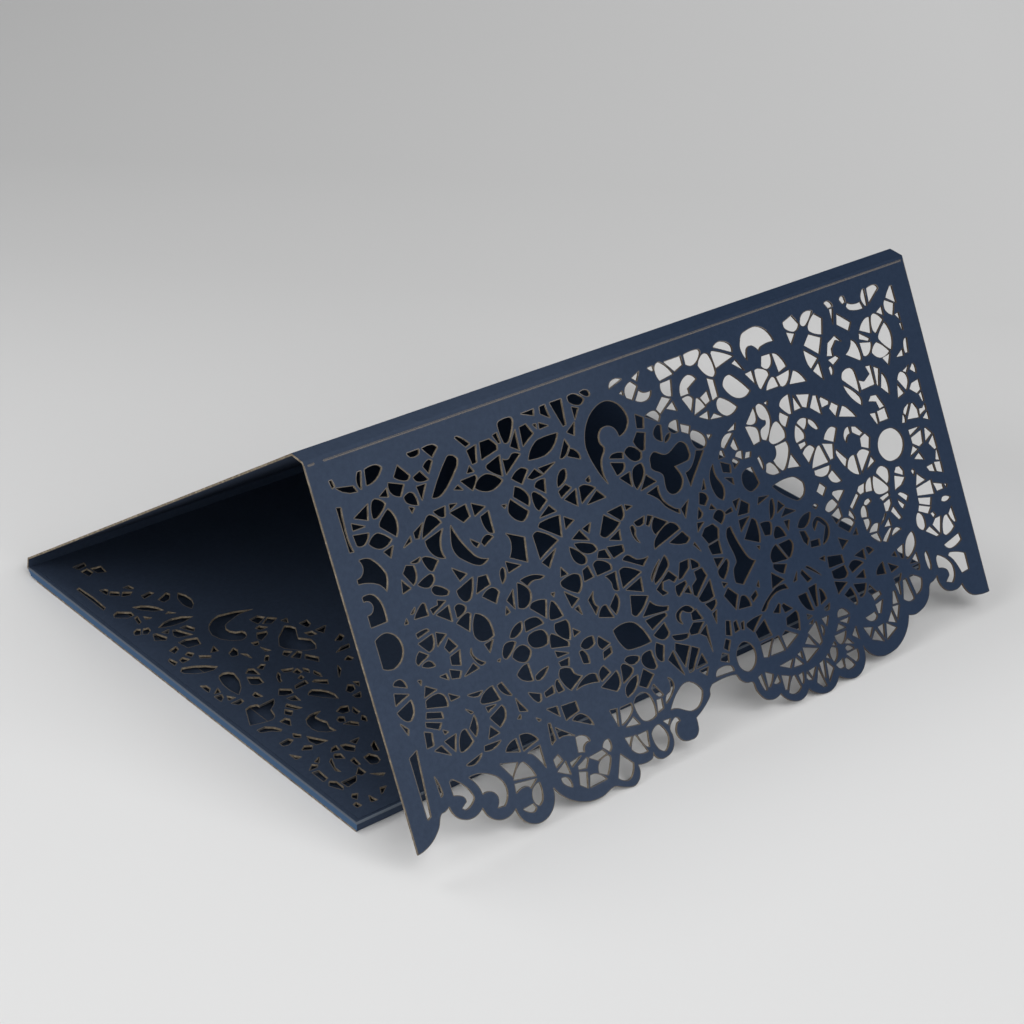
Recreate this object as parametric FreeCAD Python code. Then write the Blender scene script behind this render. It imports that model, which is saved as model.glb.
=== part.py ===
"""Laser-cut pocket fold invitation, standing open as a tent.

One sheet of card is cut, scored and folded: a plain backing lies under the pocket face, the back
panel rises from the pocket's rear edge to the ridge, and a lace flap comes down in front.
Millimetres, +Z up, the lace flap in front (-Y), the origin under the middle of the folded sheet.
"""

import FreeCAD, Part
import math
import os

from FreeCAD import Placement, Rotation, Vector

# Driving dimensions of the card and its panels.
CARD = 0.5                   # thickness of the card
PANEL_LENGTH = 186.0         # along every fold
PANEL_DEPTH = 135.0          # pocket face and back panel, fold to fold
BACKING_SETBACK = 4.0        # the plain panel folded under the face stops short of the back spine
BACKING_DEPTH = PANEL_DEPTH - BACKING_SETBACK
POCKET_HEIGHT = 2.4          # from the table to the top of the pocket face
BACK_SPINE = 2.6             # strip between the pocket face and the back panel
RIDGE_STRIP = 3.6            # strip between the back panel and the flap
FLAP_DROP = 93.5             # from the ridge fold to the lowest scallop

# How far each fold is opened, as slopes from the horizontal.
FLAP_SLOPE = 61.5
STRIP_SLOPE = 5.0
SPINE_LEAN = 9.0             # the back spine leans this far backwards from upright

# Side walls that close the pocket, with their glue tabs on the backing.
TAB_WIDTH = 9.0
TAB_MITRE = 1.2              # how far a wall's rear end and a tab's are cut back

# Folds and half-cut score lines.
FOLD_RADIUS = 0.4            # outside of a fold, on the stretched side
BORDER_JOIN = 0.6            # plain card past the ridge fold, before the flap panel starts
SCORE_WIDTH = 0.35
SCORE_DEPTH = 0.12
SCORE_INSET = 1.0            # from the fold to the middle of its score
SCORE_END = 1.0              # plain card left at each end of a score
SCORE_DASH = 2.5             # where the short first dash of the ridge score ends
SCORE_START = 5.0            # where its long run starts

# The lace is drawn on panels of these sizes and fitted to the panels that are built.
# Every cut-out is a closed run of corners (u, v) or (u, v, bow): u along the fold, v down the
# panel, and bow the height of the arc that a side makes, positive where the cut-out grows.
LACE_LENGTH = 187.0          # the flap's drawing, which starts a little left of its edge
LACE_START = -0.7
LACE_DROP = 94.1
FACE_LENGTH = 186.0          # the pocket face's drawing
FACE_DEPTH = 135.0
ROUNDING = 0.15              # largest gap between an arc of the lace and its chords

# The flap's lower edge from left to right: scallops, whose bows point away from the panel.
FLAP_EDGE = [
    (-0.7, 86.9, 1.5), (7.7, 81.0, 0.2), (10.2, 80.1, 2.7), (18.4, 83.5, 2.6), (26.7, 86.8, 5.7),
    (37.9, 86.2, 3.3), (54.1, 92.1, 0.2), (59.6, 94.0, 1.2), (62.4, 89.9, 0.3), (66.6, 90.1, 0.3),
    (67.4, 88.7, 1.0), (71.0, 91.1, 1.2), (74.3, 87.0), (74.1, 85.2), (75.9, 83.6), (76.9, 83.7),
    (77.5, 84.7), (76.4, 85.0), (75.6, 86.8, 1.0), (79.0, 90.0, 1.2), (82.4, 87.1), (82.4, 85.7, 0.2),
    (87.4, 83.0, 0.3), (88.6, 80.9), (90.0, 80.0), (97.3, 80.4, 0.8), (101.9, 83.9, 0.6),
    (104.4, 89.0, 0.7), (109.2, 89.2, 0.8), (114.5, 92.9, 0.5), (118.2, 91.2, 0.6), (123.5, 94.1, 0.8),
    (128.7, 91.6, 0.5), (134.0, 93.8, 1.9), (138.9, 87.3, 1.6), (147.0, 92.0, 1.8), (156.6, 85.2, 0.3),
    (160.0, 85.7, 1.3), (166.3, 80.4, 0.2), (169.6, 79.0, 1.7), (174.5, 84.5, 0.3), (177.5, 83.6, 1.3),
    (183.0, 88.4, 0.1), (186.3, 88.6),
]

# Cut-outs of the flap.
FLAP_WINDOWS = [
    # Upper left quarter: round holes, leaves and the first wheel.
    [(5.2, 7.2), (9.7, 8.0), (10.3, 9.4, 0.6)],
    [(10.8, 7.8), (11.6, 5.6), (12.4, 5.6), (11.4, 9.1)],
    [(13.5, 5.6), (16.3, 5.4), (17.7, 6.3), (15.6, 8.2), (13.0, 8.7)],
    [(7.7, 14.5), (11.8, 12.7), (10.8, 15.8)],
    [(12.9, 12.8), (14.1, 12.3), (16.1, 13.9), (13.5, 15.9), (12.2, 15.8)],
    [(16.4, 15.2, 1.2), (16.6, 21.2), (13.3, 18.1), (13.6, 17.2)],
    [(11.0, 19.5), (12.5, 19.4), (15.1, 21.5), (12.1, 22.5), (9.5, 20.7)],
    [(6.2, 18.0), (9.9, 18.6), (8.4, 20.4), (6.4, 20.1)],
    [(6.6, 15.5), (9.6, 16.9), (6.5, 16.8)],
    [(4.1, 11.3), (5.1, 11.5), (4.6, 18.0), (5.1, 21.0), (4.2, 20.9)],
    [(15.3, 12.0), (17.5, 10.9), (17.4, 12.6)],
    [(18.4, 10.0), (22.0, 11.4), (20.6, 13.4), (18.4, 12.1)],
    [(21.8, 7.1), (24.1, 9.9), (23.0, 10.6), (20.2, 9.1)],
    [(25.0, 10.6), (27.0, 9.9), (28.5, 12.0), (25.8, 11.7)],
    [(25.1, 12.8), (27.5, 12.9), (25.5, 15.8)],
    [(21.3, 14.0), (22.8, 13.5), (23.9, 14.1), (24.2, 16.4), (21.7, 15.3)],
    [(25.1, 5.3), (28.2, 5.3), (28.0, 6.1), (25.8, 6.2)],
    [(29.2, 5.4), (32.1, 5.4), (33.0, 6.2), (31.1, 7.8)],
    [(28.2, 9.2), (29.9, 8.2), (30.7, 8.7), (29.1, 10.8)],
    [(28.3, 16.1), (34.8, 9.0, 0.5), (37.3, 10.0), (36.5, 11.7), (31.2, 16.0)],
    [(38.3, 5.6), (39.1, 5.6), (41.5, 7.8), (40.4, 8.1)],
    [(40.4, 9.1), (43.0, 8.6), (42.1, 12.1), (40.9, 12.2)],
    [(44.2, 8.3), (47.1, 8.3), (48.7, 10.1), (48.5, 11.1), (43.5, 12.1)],
    [(44.5, 13.6), (48.5, 12.5), (47.8, 16.9), (44.4, 14.4)],
    [(39.9, 17.4), (41.6, 15.8), (44.2, 15.6), (47.4, 17.9, 1.4)],
    [(36.6, 14.9), (40.7, 14.8), (40.9, 15.5), (39.0, 17.6)],
    [(27.6, 19.1), (30.7, 18.9), (30.1, 20.8), (28.9, 20.6)],
    [(21.1, 21.9), (24.0, 20.5), (21.9, 23.3), (21.1, 23.1)],
    [(25.2, 19.9), (26.7, 19.7), (28.6, 21.8), (22.9, 23.7)],
    [(23.4, 24.5), (28.5, 23.3), (26.8, 26.6), (27.1, 29.3), (24.3, 27.6)],
    [(30.8, 23.3), (34.6, 31.1), (37.9, 33.0), (35.2, 33.5), (31.0, 30.6, 0.6), (29.9, 26.4)],
    [(31.6, 20.6), (36.1, 20.1), (36.4, 22.8), (34.4, 23.5)],
    [(37.7, 20.4), (40.9, 22.0), (37.7, 23.1)],
    [(39.2, 23.8), (41.5, 23.2), (41.4, 27.9), (39.9, 27.2)],
    [(37.5, 29.2), (39.2, 28.1), (40.8, 28.9), (38.0, 30.0)],
    [(5.9, 23.4), (8.2, 23.7, 0.6), (11.4, 28.5), (10.3, 31.3), (8.6, 29.2), (4.1, 27.9),
     (4.1, 27.1, -1.3)],
    [(4.1, 31.0), (6.6, 31.2, 0.5), (8.4, 35.0), (8.3, 37.5), (4.1, 37.5), (4.1, 35.1, -2.0),
     (4.1, 31.8)],
    [(4.1, 40.7), (6.4, 39.9, 1.11), (10.2, 43.7, 1.11), (6.4, 47.5), (4.1, 46.7)],
    [(12.5, 23.5), (15.0, 22.9), (13.7, 25.0)],
    [(16.8, 28.0), (18.7, 28.6), (18.5, 31.2), (17.3, 32.3), (15.6, 29.3)],
    [(21.3, 27.8), (22.5, 27.8), (25.1, 29.4), (23.3, 31.0), (22.2, 30.4)],
    [(18.5, 32.7), (21.8, 31.6), (22.8, 32.0), (22.6, 33.2), (20.9, 34.0)],
    [(14.7, 30.6), (16.3, 32.8), (14.2, 33.2)],
    [(15.2, 39.3), (17.8, 37.0), (18.7, 37.2), (18.8, 39.6)],
    [(19.8, 38.7), (21.9, 38.5), (22.1, 37.5), (24.0, 38.2), (20.1, 39.8)],
    [(21.5, 34.9), (22.6, 34.4), (25.6, 36.5), (25.2, 37.0), (22.2, 36.1)],
    [(28.0, 32.1), (31.3, 34.4), (29.2, 35.2)],
    [(27.7, 37.1), (32.5, 35.6), (30.9, 39.4), (29.2, 39.9), (28.0, 38.7)],
    [(34.0, 36.1), (36.4, 36.3), (36.6, 38.4), (32.5, 39.2)],
    [(33.9, 40.4), (36.6, 39.4), (38.3, 40.8), (36.8, 42.8)],
    [(20.9, 40.3), (24.5, 39.4), (24.3, 42.8)],
    [(25.9, 40.4), (27.0, 40.0), (28.6, 40.9), (28.3, 41.8), (25.9, 42.5)],
    [(25.4, 43.7), (28.4, 42.5), (29.4, 43.0), (28.0, 46.3)],
    [(14.4, 44.7), (18.3, 43.9), (17.9, 46.4), (16.3, 47.0)],
    [(19.4, 43.9), (21.7, 45.0), (18.9, 46.7)],
    [(40.9, 36.1), (41.4, 36.6), (41.0, 38.3), (39.9, 39.2), (40.0, 37.0)],
    [(42.3, 35.2), (45.9, 37.0), (42.3, 37.5)],
    [(44.4, 29.3), (49.0, 31.6), (48.0, 36.8), (43.8, 34.5), (45.2, 31.6)],
    [(44.8, 40.2, 0.6), (51.3, 41.3), (50.2, 41.4, -0.5), (46.3, 41.9)],
    [(39.8, 43.2), (42.0, 41.5), (41.2, 45.5)],
    [(43.7, 40.6), (46.1, 42.5), (46.3, 44.5), (44.6, 46.1), (42.3, 45.6)],
    # Upper middle left.
    [(50.3, 6.1), (51.0, 5.4), (54.1, 5.4), (54.5, 6.4), (52.1, 10.1), (50.7, 10.1)],
    [(48.1, 7.8), (49.5, 7.5), (49.8, 9.9), (49.1, 9.9)],
    [(55.9, 8.2), (57.8, 8.0), (59.1, 10.4), (55.5, 12.3)],
    [(54.5, 8.3), (54.2, 12.8), (52.1, 11.4)],
    [(57.3, 5.4), (60.9, 5.4), (60.6, 6.6)],
    [(62.8, 5.4), (64.3, 5.3), (64.8, 8.3), (62.6, 6.8)],
    [(65.9, 5.3), (69.2, 5.3), (68.6, 11.0), (67.8, 11.1)],
    [(71.3, 5.3), (73.3, 5.3), (75.4, 7.0), (74.0, 7.8), (71.4, 6.6)],
    [(71.5, 7.7), (73.4, 8.5), (71.5, 10.8)],
    [(68.3, 12.8), (71.2, 11.1), (70.2, 14.1)],
    [(56.0, 15.6, 0.6), (60.0, 12.2), (65.6, 12.3, 0.8), (60.5, 15.9)],
    [(67.1, 14.2), (67.9, 15.9), (66.0, 17.7), (64.6, 17.7)],
    [(68.0, 16.6), (69.8, 18.0), (70.0, 19.4), (66.8, 17.9)],
    [(82.6, 17.6, 0.9), (86.4, 14.6, 2.0), (79.5, 9.3, 1.9), (72.5, 18.0, 0.5), (75.8, 27.1, -1.3),
     (77.4, 19.2, -1.1), (78.0, 14.7, -1.5)],
    [(83.5, 6.7), (84.7, 5.3), (87.6, 5.6)],
    [(90.9, 6.2), (93.2, 5.3), (91.9, 7.1)],
    [(88.0, 8.0), (90.2, 7.0), (91.6, 8.3), (89.3, 10.9), (87.8, 10.0)],
    [(90.2, 11.3), (91.8, 9.4, -0.6), (95.2, 10.4), (93.6, 12.0)],
    [(91.6, 15.6), (94.7, 15.2), (95.8, 16.8), (95.1, 17.7)],
    [(95.4, 14.9), (98.0, 12.7), (100.3, 13.8), (96.3, 16.2)],
    [(88.8, 14.4), (90.9, 15.7), (90.2, 17.9), (88.3, 17.4)],
    [(86.2, 20.1), (87.9, 18.4), (90.2, 19.2), (88.8, 22.6), (87.6, 22.4)],
    [(82.9, 21.8), (84.8, 21.0), (87.6, 23.2), (87.2, 24.2), (84.8, 24.2)],
    [(78.2, 21.8), (79.4, 21.2), (82.3, 21.7), (82.0, 22.8)],
    [(78.1, 22.9), (81.8, 24.0), (81.3, 25.3), (79.0, 25.9)],
    [(79.6, 26.9), (82.7, 26.4), (82.4, 29.6)],
    [(84.6, 25.7), (86.7, 25.5), (86.8, 27.8), (83.6, 30.6), (83.1, 29.2), (83.6, 26.6)],
    [(87.2, 28.4), (89.5, 30.6), (84.6, 31.3)],
    [(91.5, 24.2), (94.6, 25.7), (99.0, 24.1, 0.9), (101.5, 26.6, 0.8), (99.8, 28.6), (96.1, 28.8),
     (97.5, 32.0, 0.8), (94.6, 34.8, 1.0), (92.0, 32.2), (92.1, 29.6), (89.4, 27.5), (89.4, 26.3, 0.7)],
    [(63.1, 20.9), (65.0, 20.6), (64.4, 22.6), (61.8, 23.6)],
    [(61.6, 24.8), (64.0, 23.8), (65.2, 24.9), (61.9, 26.2)],
    [(62.7, 26.9), (66.4, 25.6), (65.7, 29.2)],
    [(67.5, 25.6), (69.2, 25.5), (71.8, 26.9), (67.1, 29.0)],
    [(68.5, 29.8), (72.1, 27.6), (74.0, 29.7)],
    [(49.1, 13.6), (50.5, 14.1), (52.0, 13.2), (54.0, 13.8), (49.0, 16.9)],
    [(50.1, 18.3), (53.0, 16.9), (54.8, 17.8), (52.4, 20.2)],
    [(54.2, 19.4), (56.8, 18.0), (58.7, 19.9), (55.5, 20.1)],
    [(57.8, 18.2), (62.8, 18.2), (59.0, 19.8)],
    [(49.2, 22.2), (50.2, 20.3), (53.1, 22.9), (52.5, 25.2)],
    [(55.6, 21.9), (56.4, 21.0), (58.7, 21.0), (58.0, 23.8)],
    [(54.2, 23.2), (55.2, 23.0), (57.7, 25.6), (55.1, 27.1), (54.2, 26.0)],
    [(48.2, 22.6), (52.0, 26.4), (50.2, 27.9, 0.8), (46.8, 24.8)],
    [(54.6, 28.7), (57.9, 26.9), (59.4, 28.6)],
    [(53.6, 30.6), (54.3, 29.9), (60.0, 29.9), (59.0, 34.4)],
    [(61.1, 30.6), (63.4, 32.0), (60.7, 33.1)],
    [(51.4, 32.0), (53.1, 31.6), (57.6, 34.9), (51.6, 37.3)],
    [(51.9, 38.3), (56.4, 36.5), (53.4, 39.9)],
    [(61.7, 35.9), (64.3, 34.7), (66.2, 37.5)],
    [(65.3, 34.6), (67.8, 34.0), (66.7, 35.9)],
    [(69.7, 37.3), (72.1, 33.5), (76.0, 36.4), (71.4, 38.3)],
    [(73.4, 33.2), (77.8, 32.9), (77.7, 35.2), (76.5, 35.9)],
    [(60.3, 37.5), (63.8, 40.6), (63.6, 42.0), (61.9, 41.8), (60.5, 40.2)],
    [(61.9, 37.1), (66.7, 38.7), (67.6, 40.1), (64.1, 39.9)],
    [(71.9, 39.2), (75.3, 38.0), (75.0, 40.2)],
    [(70.6, 40.7), (75.0, 41.5), (75.0, 42.9), (71.6, 43.4)],
    [(78.7, 38.3), (79.3, 38.2), (79.8, 39.3, -0.6), (80.2, 42.5), (78.9, 40.8)],
    [(80.2, 37.6), (83.3, 37.2), (82.8, 38.5), (80.8, 38.6)],
    [(84.4, 37.3), (85.7, 37.9), (84.0, 39.6), (83.3, 39.1)],
    [(84.8, 40.3), (86.3, 38.3), (89.6, 40.4), (85.4, 42.1)],
    [(85.0, 43.0), (90.1, 40.9), (92.6, 43.0), (84.0, 45.1)],
    [(88.6, 45.1), (93.1, 43.9), (94.7, 45.8), (93.3, 46.6)],
    [(86.1, 32.5), (89.7, 31.8), (90.0, 35.2), (92.4, 37.9), (94.0, 38.7), (93.9, 39.5), (90.5, 36.9),
     (88.8, 34.5)],
    [(94.7, 38.8), (97.4, 37.4), (95.2, 41.1)],
    [(67.2, 42.0), (67.9, 40.8), (69.9, 41.0), (70.7, 43.2)],
    [(65.4, 43.2), (66.9, 42.7), (70.0, 44.4), (70.0, 45.6), (65.7, 45.7)],
    [(62.1, 43.5), (63.8, 43.0), (64.6, 45.6), (61.8, 45.8)],
    [(55.4, 44.0), (58.8, 43.4), (60.9, 44.2), (60.7, 46.4), (59.3, 47.7), (55.5, 45.1)],
    [(74.0, 44.7), (75.7, 44.2), (78.1, 46.0), (81.2, 46.2), (79.3, 47.7)],
    # Upper middle right.
    [(98.6, 5.2), (100.2, 5.1), (103.0, 8.4), (98.7, 8.9), (98.0, 6.7)],
    [(101.4, 5.2), (106.6, 5.2), (106.6, 7.1), (103.8, 8.0)],
    [(107.7, 5.2), (112.3, 5.1), (112.7, 5.8), (110.3, 7.9), (107.6, 7.3)],
    [(98.6, 9.7), (101.9, 9.6), (101.0, 13.1), (98.6, 11.9)],
    [(98.5, 15.6), (100.7, 14.6), (101.3, 16.8)],
    [(103.7, 14.0), (104.4, 11.4), (107.2, 10.0), (109.4, 11.4), (106.3, 12.8), (106.3, 14.0)],
    [(103.8, 14.8), (106.2, 14.8), (107.0, 15.7), (105.6, 18.3)],
    [(107.8, 16.0), (108.6, 16.0), (110.1, 18.3), (106.2, 19.3)],
    [(109.3, 16.0), (111.8, 15.0), (112.0, 17.4), (110.4, 17.9)],
    [(107.4, 20.1), (110.4, 19.6), (110.1, 21.4)],
    [(110.7, 21.5), (112.1, 20.6), (114.5, 22.0)],
    [(114.1, 18.0), (115.6, 17.8), (119.6, 21.0), (116.2, 22.1), (113.7, 20.2)],
    [(112.8, 12.2), (114.7, 13.1), (114.7, 17.0), (112.8, 17.5)],
    [(111.2, 8.6), (113.2, 6.6), (115.1, 7.0), (115.9, 11.3), (114.8, 12.2), (112.7, 11.0)],
    [(116.0, 7.0), (116.7, 6.6), (122.5, 9.3), (116.4, 10.6)],
    [(117.3, 5.7), (119.6, 5.1), (122.4, 6.5), (122.5, 8.2)],
    [(120.5, 13.6, 1.1), (117.1, 15.4), (119.4, 18.4), (122.6, 19.3), (124.9, 18.4)],
    [(121.7, 10.9), (122.9, 10.4), (124.9, 13.5)],
    [(124.9, 14.4), (127.1, 14.2), (127.3, 17.6)],
    [(128.0, 14.4), (129.4, 14.3), (131.9, 15.5), (132.1, 16.5), (128.8, 19.0), (128.0, 18.3)],
    [(130.5, 13.8), (131.3, 11.8), (134.2, 11.9), (133.8, 14.1), (132.2, 14.9)],
    [(134.9, 12.1), (136.6, 12.8), (138.3, 15.9), (135.5, 16.7)],
    [(132.3, 17.5), (133.8, 17.8), (134.3, 19.8), (130.1, 19.8)],
    [(134.3, 17.7), (139.0, 17.1), (137.1, 19.9), (134.9, 19.9)],
    [(140.0, 17.7), (141.6, 18.5), (143.4, 21.0), (138.0, 20.3)],
    [(127.4, 5.0), (133.0, 4.9), (136.3, 9.0), (132.2, 9.2), (131.0, 10.1), (129.4, 8.4, -0.5),
     (127.1, 9.0), (126.6, 11.3), (125.5, 8.5, 0.5)],
    [(141.0, 5.8), (144.2, 4.9), (145.8, 7.3), (144.1, 8.6), (141.2, 7.3)],
    [(141.2, 8.4), (143.7, 9.3), (141.7, 11.4)],
    [(97.4, 20.3), (98.2, 19.1), (100.5, 19.1), (100.1, 21.4), (98.5, 21.4)],
    [(101.2, 20.2), (103.8, 21.4), (103.0, 22.9), (101.0, 21.8)],
    [(103.2, 23.7), (104.2, 22.6), (107.0, 24.4), (107.3, 26.4), (106.0, 27.2), (103.9, 26.4)],
    [(92.6, 20.0), (94.0, 18.6), (95.3, 18.9), (94.6, 22.2), (93.0, 21.3)],
    [(98.9, 31.3), (101.2, 30.4), (103.6, 27.3), (105.8, 27.9), (99.3, 34.5)],
    [(107.5, 31.8), (107.5, 34.6), (108.9, 38.0), (107.8, 40.4), (105.9, 38.5), (105.6, 34.5)],
    [(101.2, 37.0), (102.9, 37.7), (103.3, 38.9), (102.0, 40.1), (100.4, 39.3)],
    [(97.7, 45.3), (98.2, 43.4), (100.1, 43.7)],
    [(103.4, 43.7), (105.0, 42.4), (106.7, 43.1), (106.8, 44.2), (105.2, 45.6)],
    [(98.5, 46.5), (99.9, 45.1), (102.7, 44.9), (104.1, 46.4), (103.4, 48.6), (99.9, 49.0)],
    [(110.0, 32.0), (112.7, 33.4), (112.3, 35.1), (110.0, 34.3)],
    [(111.6, 28.6), (113.2, 26.6), (116.0, 26.6), (112.4, 29.2)],
    [(114.5, 29.2), (116.0, 27.8), (116.5, 30.5), (115.4, 30.4)],
    [(115.1, 32.0), (115.8, 31.3), (117.4, 31.4), (117.0, 33.1)],
    [(113.7, 32.7), (114.4, 32.5), (115.6, 33.5), (113.8, 34.4)],
    [(115.1, 38.0), (116.0, 36.3), (119.0, 35.9), (120.1, 39.9), (117.2, 41.1), (115.5, 39.9)],
    [(121.1, 25.6), (124.5, 22.6), (124.6, 25.2), (123.7, 26.2)],
    [(120.5, 26.4), (123.6, 27.3), (124.2, 28.4), (123.9, 30.7), (121.6, 31.0)],
    [(125.4, 22.6), (126.9, 22.4), (128.5, 24.1), (128.7, 27.3), (126.0, 31.1), (124.8, 30.5),
     (125.0, 28.4), (127.0, 27.5), (127.2, 26.3), (125.5, 25.1)],
    [(129.2, 28.1), (131.0, 28.0), (132.3, 30.6), (132.0, 32.1), (127.9, 32.5), (126.7, 31.4)],
    [(128.0, 33.3), (131.9, 33.1), (132.1, 35.3), (129.4, 39.1), (128.2, 39.1), (126.4, 36.3),
     (127.8, 35.2)],
    [(123.2, 38.2), (123.8, 36.7), (125.7, 36.8), (127.3, 39.5), (125.0, 39.3)],
    [(130.3, 39.2), (132.4, 36.4), (134.2, 39.9)],
    [(123.9, 42.1), (130.8, 41.8), (133.6, 43.8, 0.6), (132.6, 46.9), (130.3, 47.3)],
    [(132.8, 24.5), (133.8, 23.3), (136.6, 22.7), (136.1, 27.1), (135.0, 26.9)],
    [(137.8, 23.1), (139.6, 26.8), (137.0, 26.9)],
    [(138.9, 23.3), (143.4, 24.4), (141.5, 27.3), (139.9, 26.6)],
    [(131.7, 28.0), (132.5, 26.0), (134.8, 27.7), (133.2, 29.7)],
    [(136.9, 29.9), (138.5, 29.3), (140.3, 29.8), (139.3, 31.6), (138.4, 31.8)],
    [(135.1, 32.8), (136.3, 30.3), (138.2, 32.7), (138.0, 34.0), (135.2, 34.4)],
    [(135.6, 35.0), (138.0, 34.9), (138.1, 35.6), (135.9, 36.3)],
    [(136.2, 37.4), (138.8, 36.2), (140.4, 37.4), (137.4, 40.1)],
    [(140.9, 30.1), (142.4, 31.2), (143.2, 32.9), (142.4, 32.9), (140.6, 31.0)],
    [(138.0, 41.6), (141.0, 37.4), (142.4, 37.3), (143.7, 41.6)],
    [(138.4, 42.5), (143.8, 42.6), (142.0, 44.4), (138.3, 43.3)],
    # Upper right quarter.
    [(146.4, 7.3), (148.0, 5.4), (151.1, 5.5), (148.3, 8.0), (146.8, 8.0)],
    [(148.7, 8.6), (151.6, 6.3), (153.8, 8.0), (152.6, 11.5), (148.8, 9.9)],
    [(145.8, 12.7), (148.1, 10.6), (151.9, 12.4), (149.9, 15.9)],
    [(145.2, 13.8), (149.0, 16.8), (146.2, 18.7), (145.3, 16.9)],
    [(146.6, 19.4), (149.0, 17.9), (149.2, 22.2)],
    [(157.0, 6.6), (158.1, 6.6), (156.9, 10.3)],
    [(158.2, 10.6), (159.0, 8.2), (162.9, 11.3), (161.6, 13.0)],
    [(162.9, 7.2), (163.5, 6.5), (165.5, 7.4), (167.9, 7.3), (168.4, 8.9), (164.0, 8.3)],
    [(168.5, 6.6), (169.5, 4.8), (170.2, 4.8), (169.9, 8.5), (169.2, 8.4)],
    [(171.2, 4.8), (174.2, 4.6), (175.0, 5.5), (170.8, 8.3)],
    [(177.0, 8.4), (179.2, 6.2), (179.9, 6.3), (180.0, 10.4)],
    [(175.7, 9.9), (176.4, 9.0), (179.2, 10.5), (178.0, 13.1), (175.9, 11.6)],
    [(172.6, 11.1), (174.7, 10.1), (174.6, 12.3)],
    [(165.3, 13.9), (167.6, 11.9), (169.7, 11.8), (168.8, 15.5)],
    [(169.7, 14.7), (170.4, 11.6), (171.9, 11.4), (174.0, 13.4), (170.7, 15.9)],
    [(171.3, 16.6), (174.3, 14.2, 1.2), (174.3, 21.1), (171.0, 17.7)],
    [(164.4, 15.9), (164.8, 14.6), (167.8, 16.7), (167.4, 17.1)],
    [(164.2, 17.0), (168.0, 17.8), (166.6, 20.1), (164.4, 20.1)],
    [(167.5, 20.2), (168.8, 18.7), (170.2, 18.4), (173.5, 21.4), (170.0, 22.1)],
    [(170.6, 22.5), (173.4, 22.1), (172.0, 24.5)],
    [(178.5, 13.2), (180.0, 13.0), (180.0, 15.2)],
    [(179.2, 20.3), (180.4, 19.9), (179.8, 23.2), (178.8, 23.2)],
    [(175.4, 23.4), (178.1, 22.0), (177.9, 23.6)],
    [(152.2, 17.1), (153.5, 14.2), (156.5, 13.0), (158.3, 15.0), (156.5, 14.1), (154.4, 15.9),
     (154.3, 17.6)],
    [(152.3, 18.2), (155.2, 17.8), (156.2, 18.6), (153.6, 19.8)],
    [(158.7, 18.4), (160.6, 17.1), (161.4, 15.5), (163.0, 17.0), (163.5, 20.4), (162.8, 20.9)],
    [(155.2, 23.9), (156.1, 22.2), (159.0, 22.1), (159.9, 23.5), (159.9, 28.4)],
    [(155.0, 25.4), (159.4, 29.4), (159.4, 31.5), (156.5, 28.6)],
    [(160.5, 25.5), (162.3, 26.3), (164.7, 25.0), (163.9, 22.9), (165.8, 23.1), (165.8, 27.9),
     (160.7, 28.1)],
    [(166.6, 23.5), (168.4, 24.6), (166.9, 28.6), (166.2, 28.3)],
    [(167.5, 29.2), (168.8, 25.9), (169.9, 28.0), (169.6, 31.4)],
    [(162.0, 31.3), (163.1, 30.3), (165.3, 30.6), (167.0, 33.9), (165.0, 34.1), (164.4, 32.0)],
    [(161.4, 34.5), (163.4, 34.8), (163.4, 37.3), (162.9, 37.4)],
    [(163.9, 34.5), (167.0, 34.3), (167.3, 37.2), (163.9, 37.2)],
    [(161.1, 43.5, 1.25), (165.6, 39.6, 1.25), (170.1, 43.5, 1.25), (165.6, 47.4, 1.25)],
    [(142.4, 27.5), (144.2, 25.1), (145.4, 25.4), (145.5, 30.0)],
    [(146.1, 26.4), (146.7, 25.9), (149.1, 27.7), (148.8, 28.4), (146.1, 28.6)],
    [(148.4, 29.4), (149.7, 28.1), (151.8, 29.6), (150.0, 32.0)],
    [(151.1, 32.1), (152.8, 30.1), (154.2, 30.8), (156.6, 33.7)],
    [(144.2, 36.0), (146.7, 34.0), (149.0, 34.7), (147.2, 37.5)],
    [(143.2, 37.0), (146.6, 38.0), (145.7, 41.2), (144.5, 41.3)],
    [(150.8, 37.2), (151.9, 35.7), (153.2, 35.6), (153.2, 37.0), (151.9, 37.5), (151.2, 38.8)],
    [(153.8, 37.0), (154.0, 35.6), (155.7, 36.1), (157.5, 38.1), (156.1, 38.6)],
    [(155.9, 39.1), (158.1, 38.4), (159.3, 39.8), (158.2, 42.4), (155.6, 41.2)],
    [(146.9, 40.8), (147.2, 39.6), (149.9, 42.8), (148.9, 44.4)],
    [(149.4, 44.9), (150.8, 42.8), (152.7, 42.7), (152.8, 47.3), (151.0, 46.6)],
    [(153.5, 42.7), (155.4, 42.0), (158.0, 43.2), (153.7, 47.3)],
    [(155.5, 47.1), (158.0, 44.4), (158.8, 45.8)],
    [(142.4, 44.9), (144.2, 43.9), (146.2, 47.1), (143.4, 46.6)],
    [(176.3, 27.3), (178.7, 26.4), (177.4, 27.9)],
    [(178.9, 27.5), (180.0, 26.5), (180.7, 26.9), (180.6, 28.9)],
    [(173.7, 28.9), (174.7, 27.6), (175.8, 27.5), (177.0, 28.4), (177.2, 30.1), (175.8, 32.1)],
    [(173.2, 29.9), (174.7, 32.6), (172.3, 33.2)],
    [(176.9, 32.2), (178.0, 31.0), (180.9, 30.6), (180.9, 33.3), (179.2, 34.0)],
    [(179.6, 34.3), (180.9, 33.8), (180.9, 36.3), (180.2, 36.3)],
    [(172.8, 37.4), (173.5, 36.3), (175.6, 35.6), (173.5, 38.1)],
    [(173.5, 39.2), (176.1, 35.8), (177.0, 35.9), (178.0, 37.8), (177.9, 39.8)],
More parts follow.
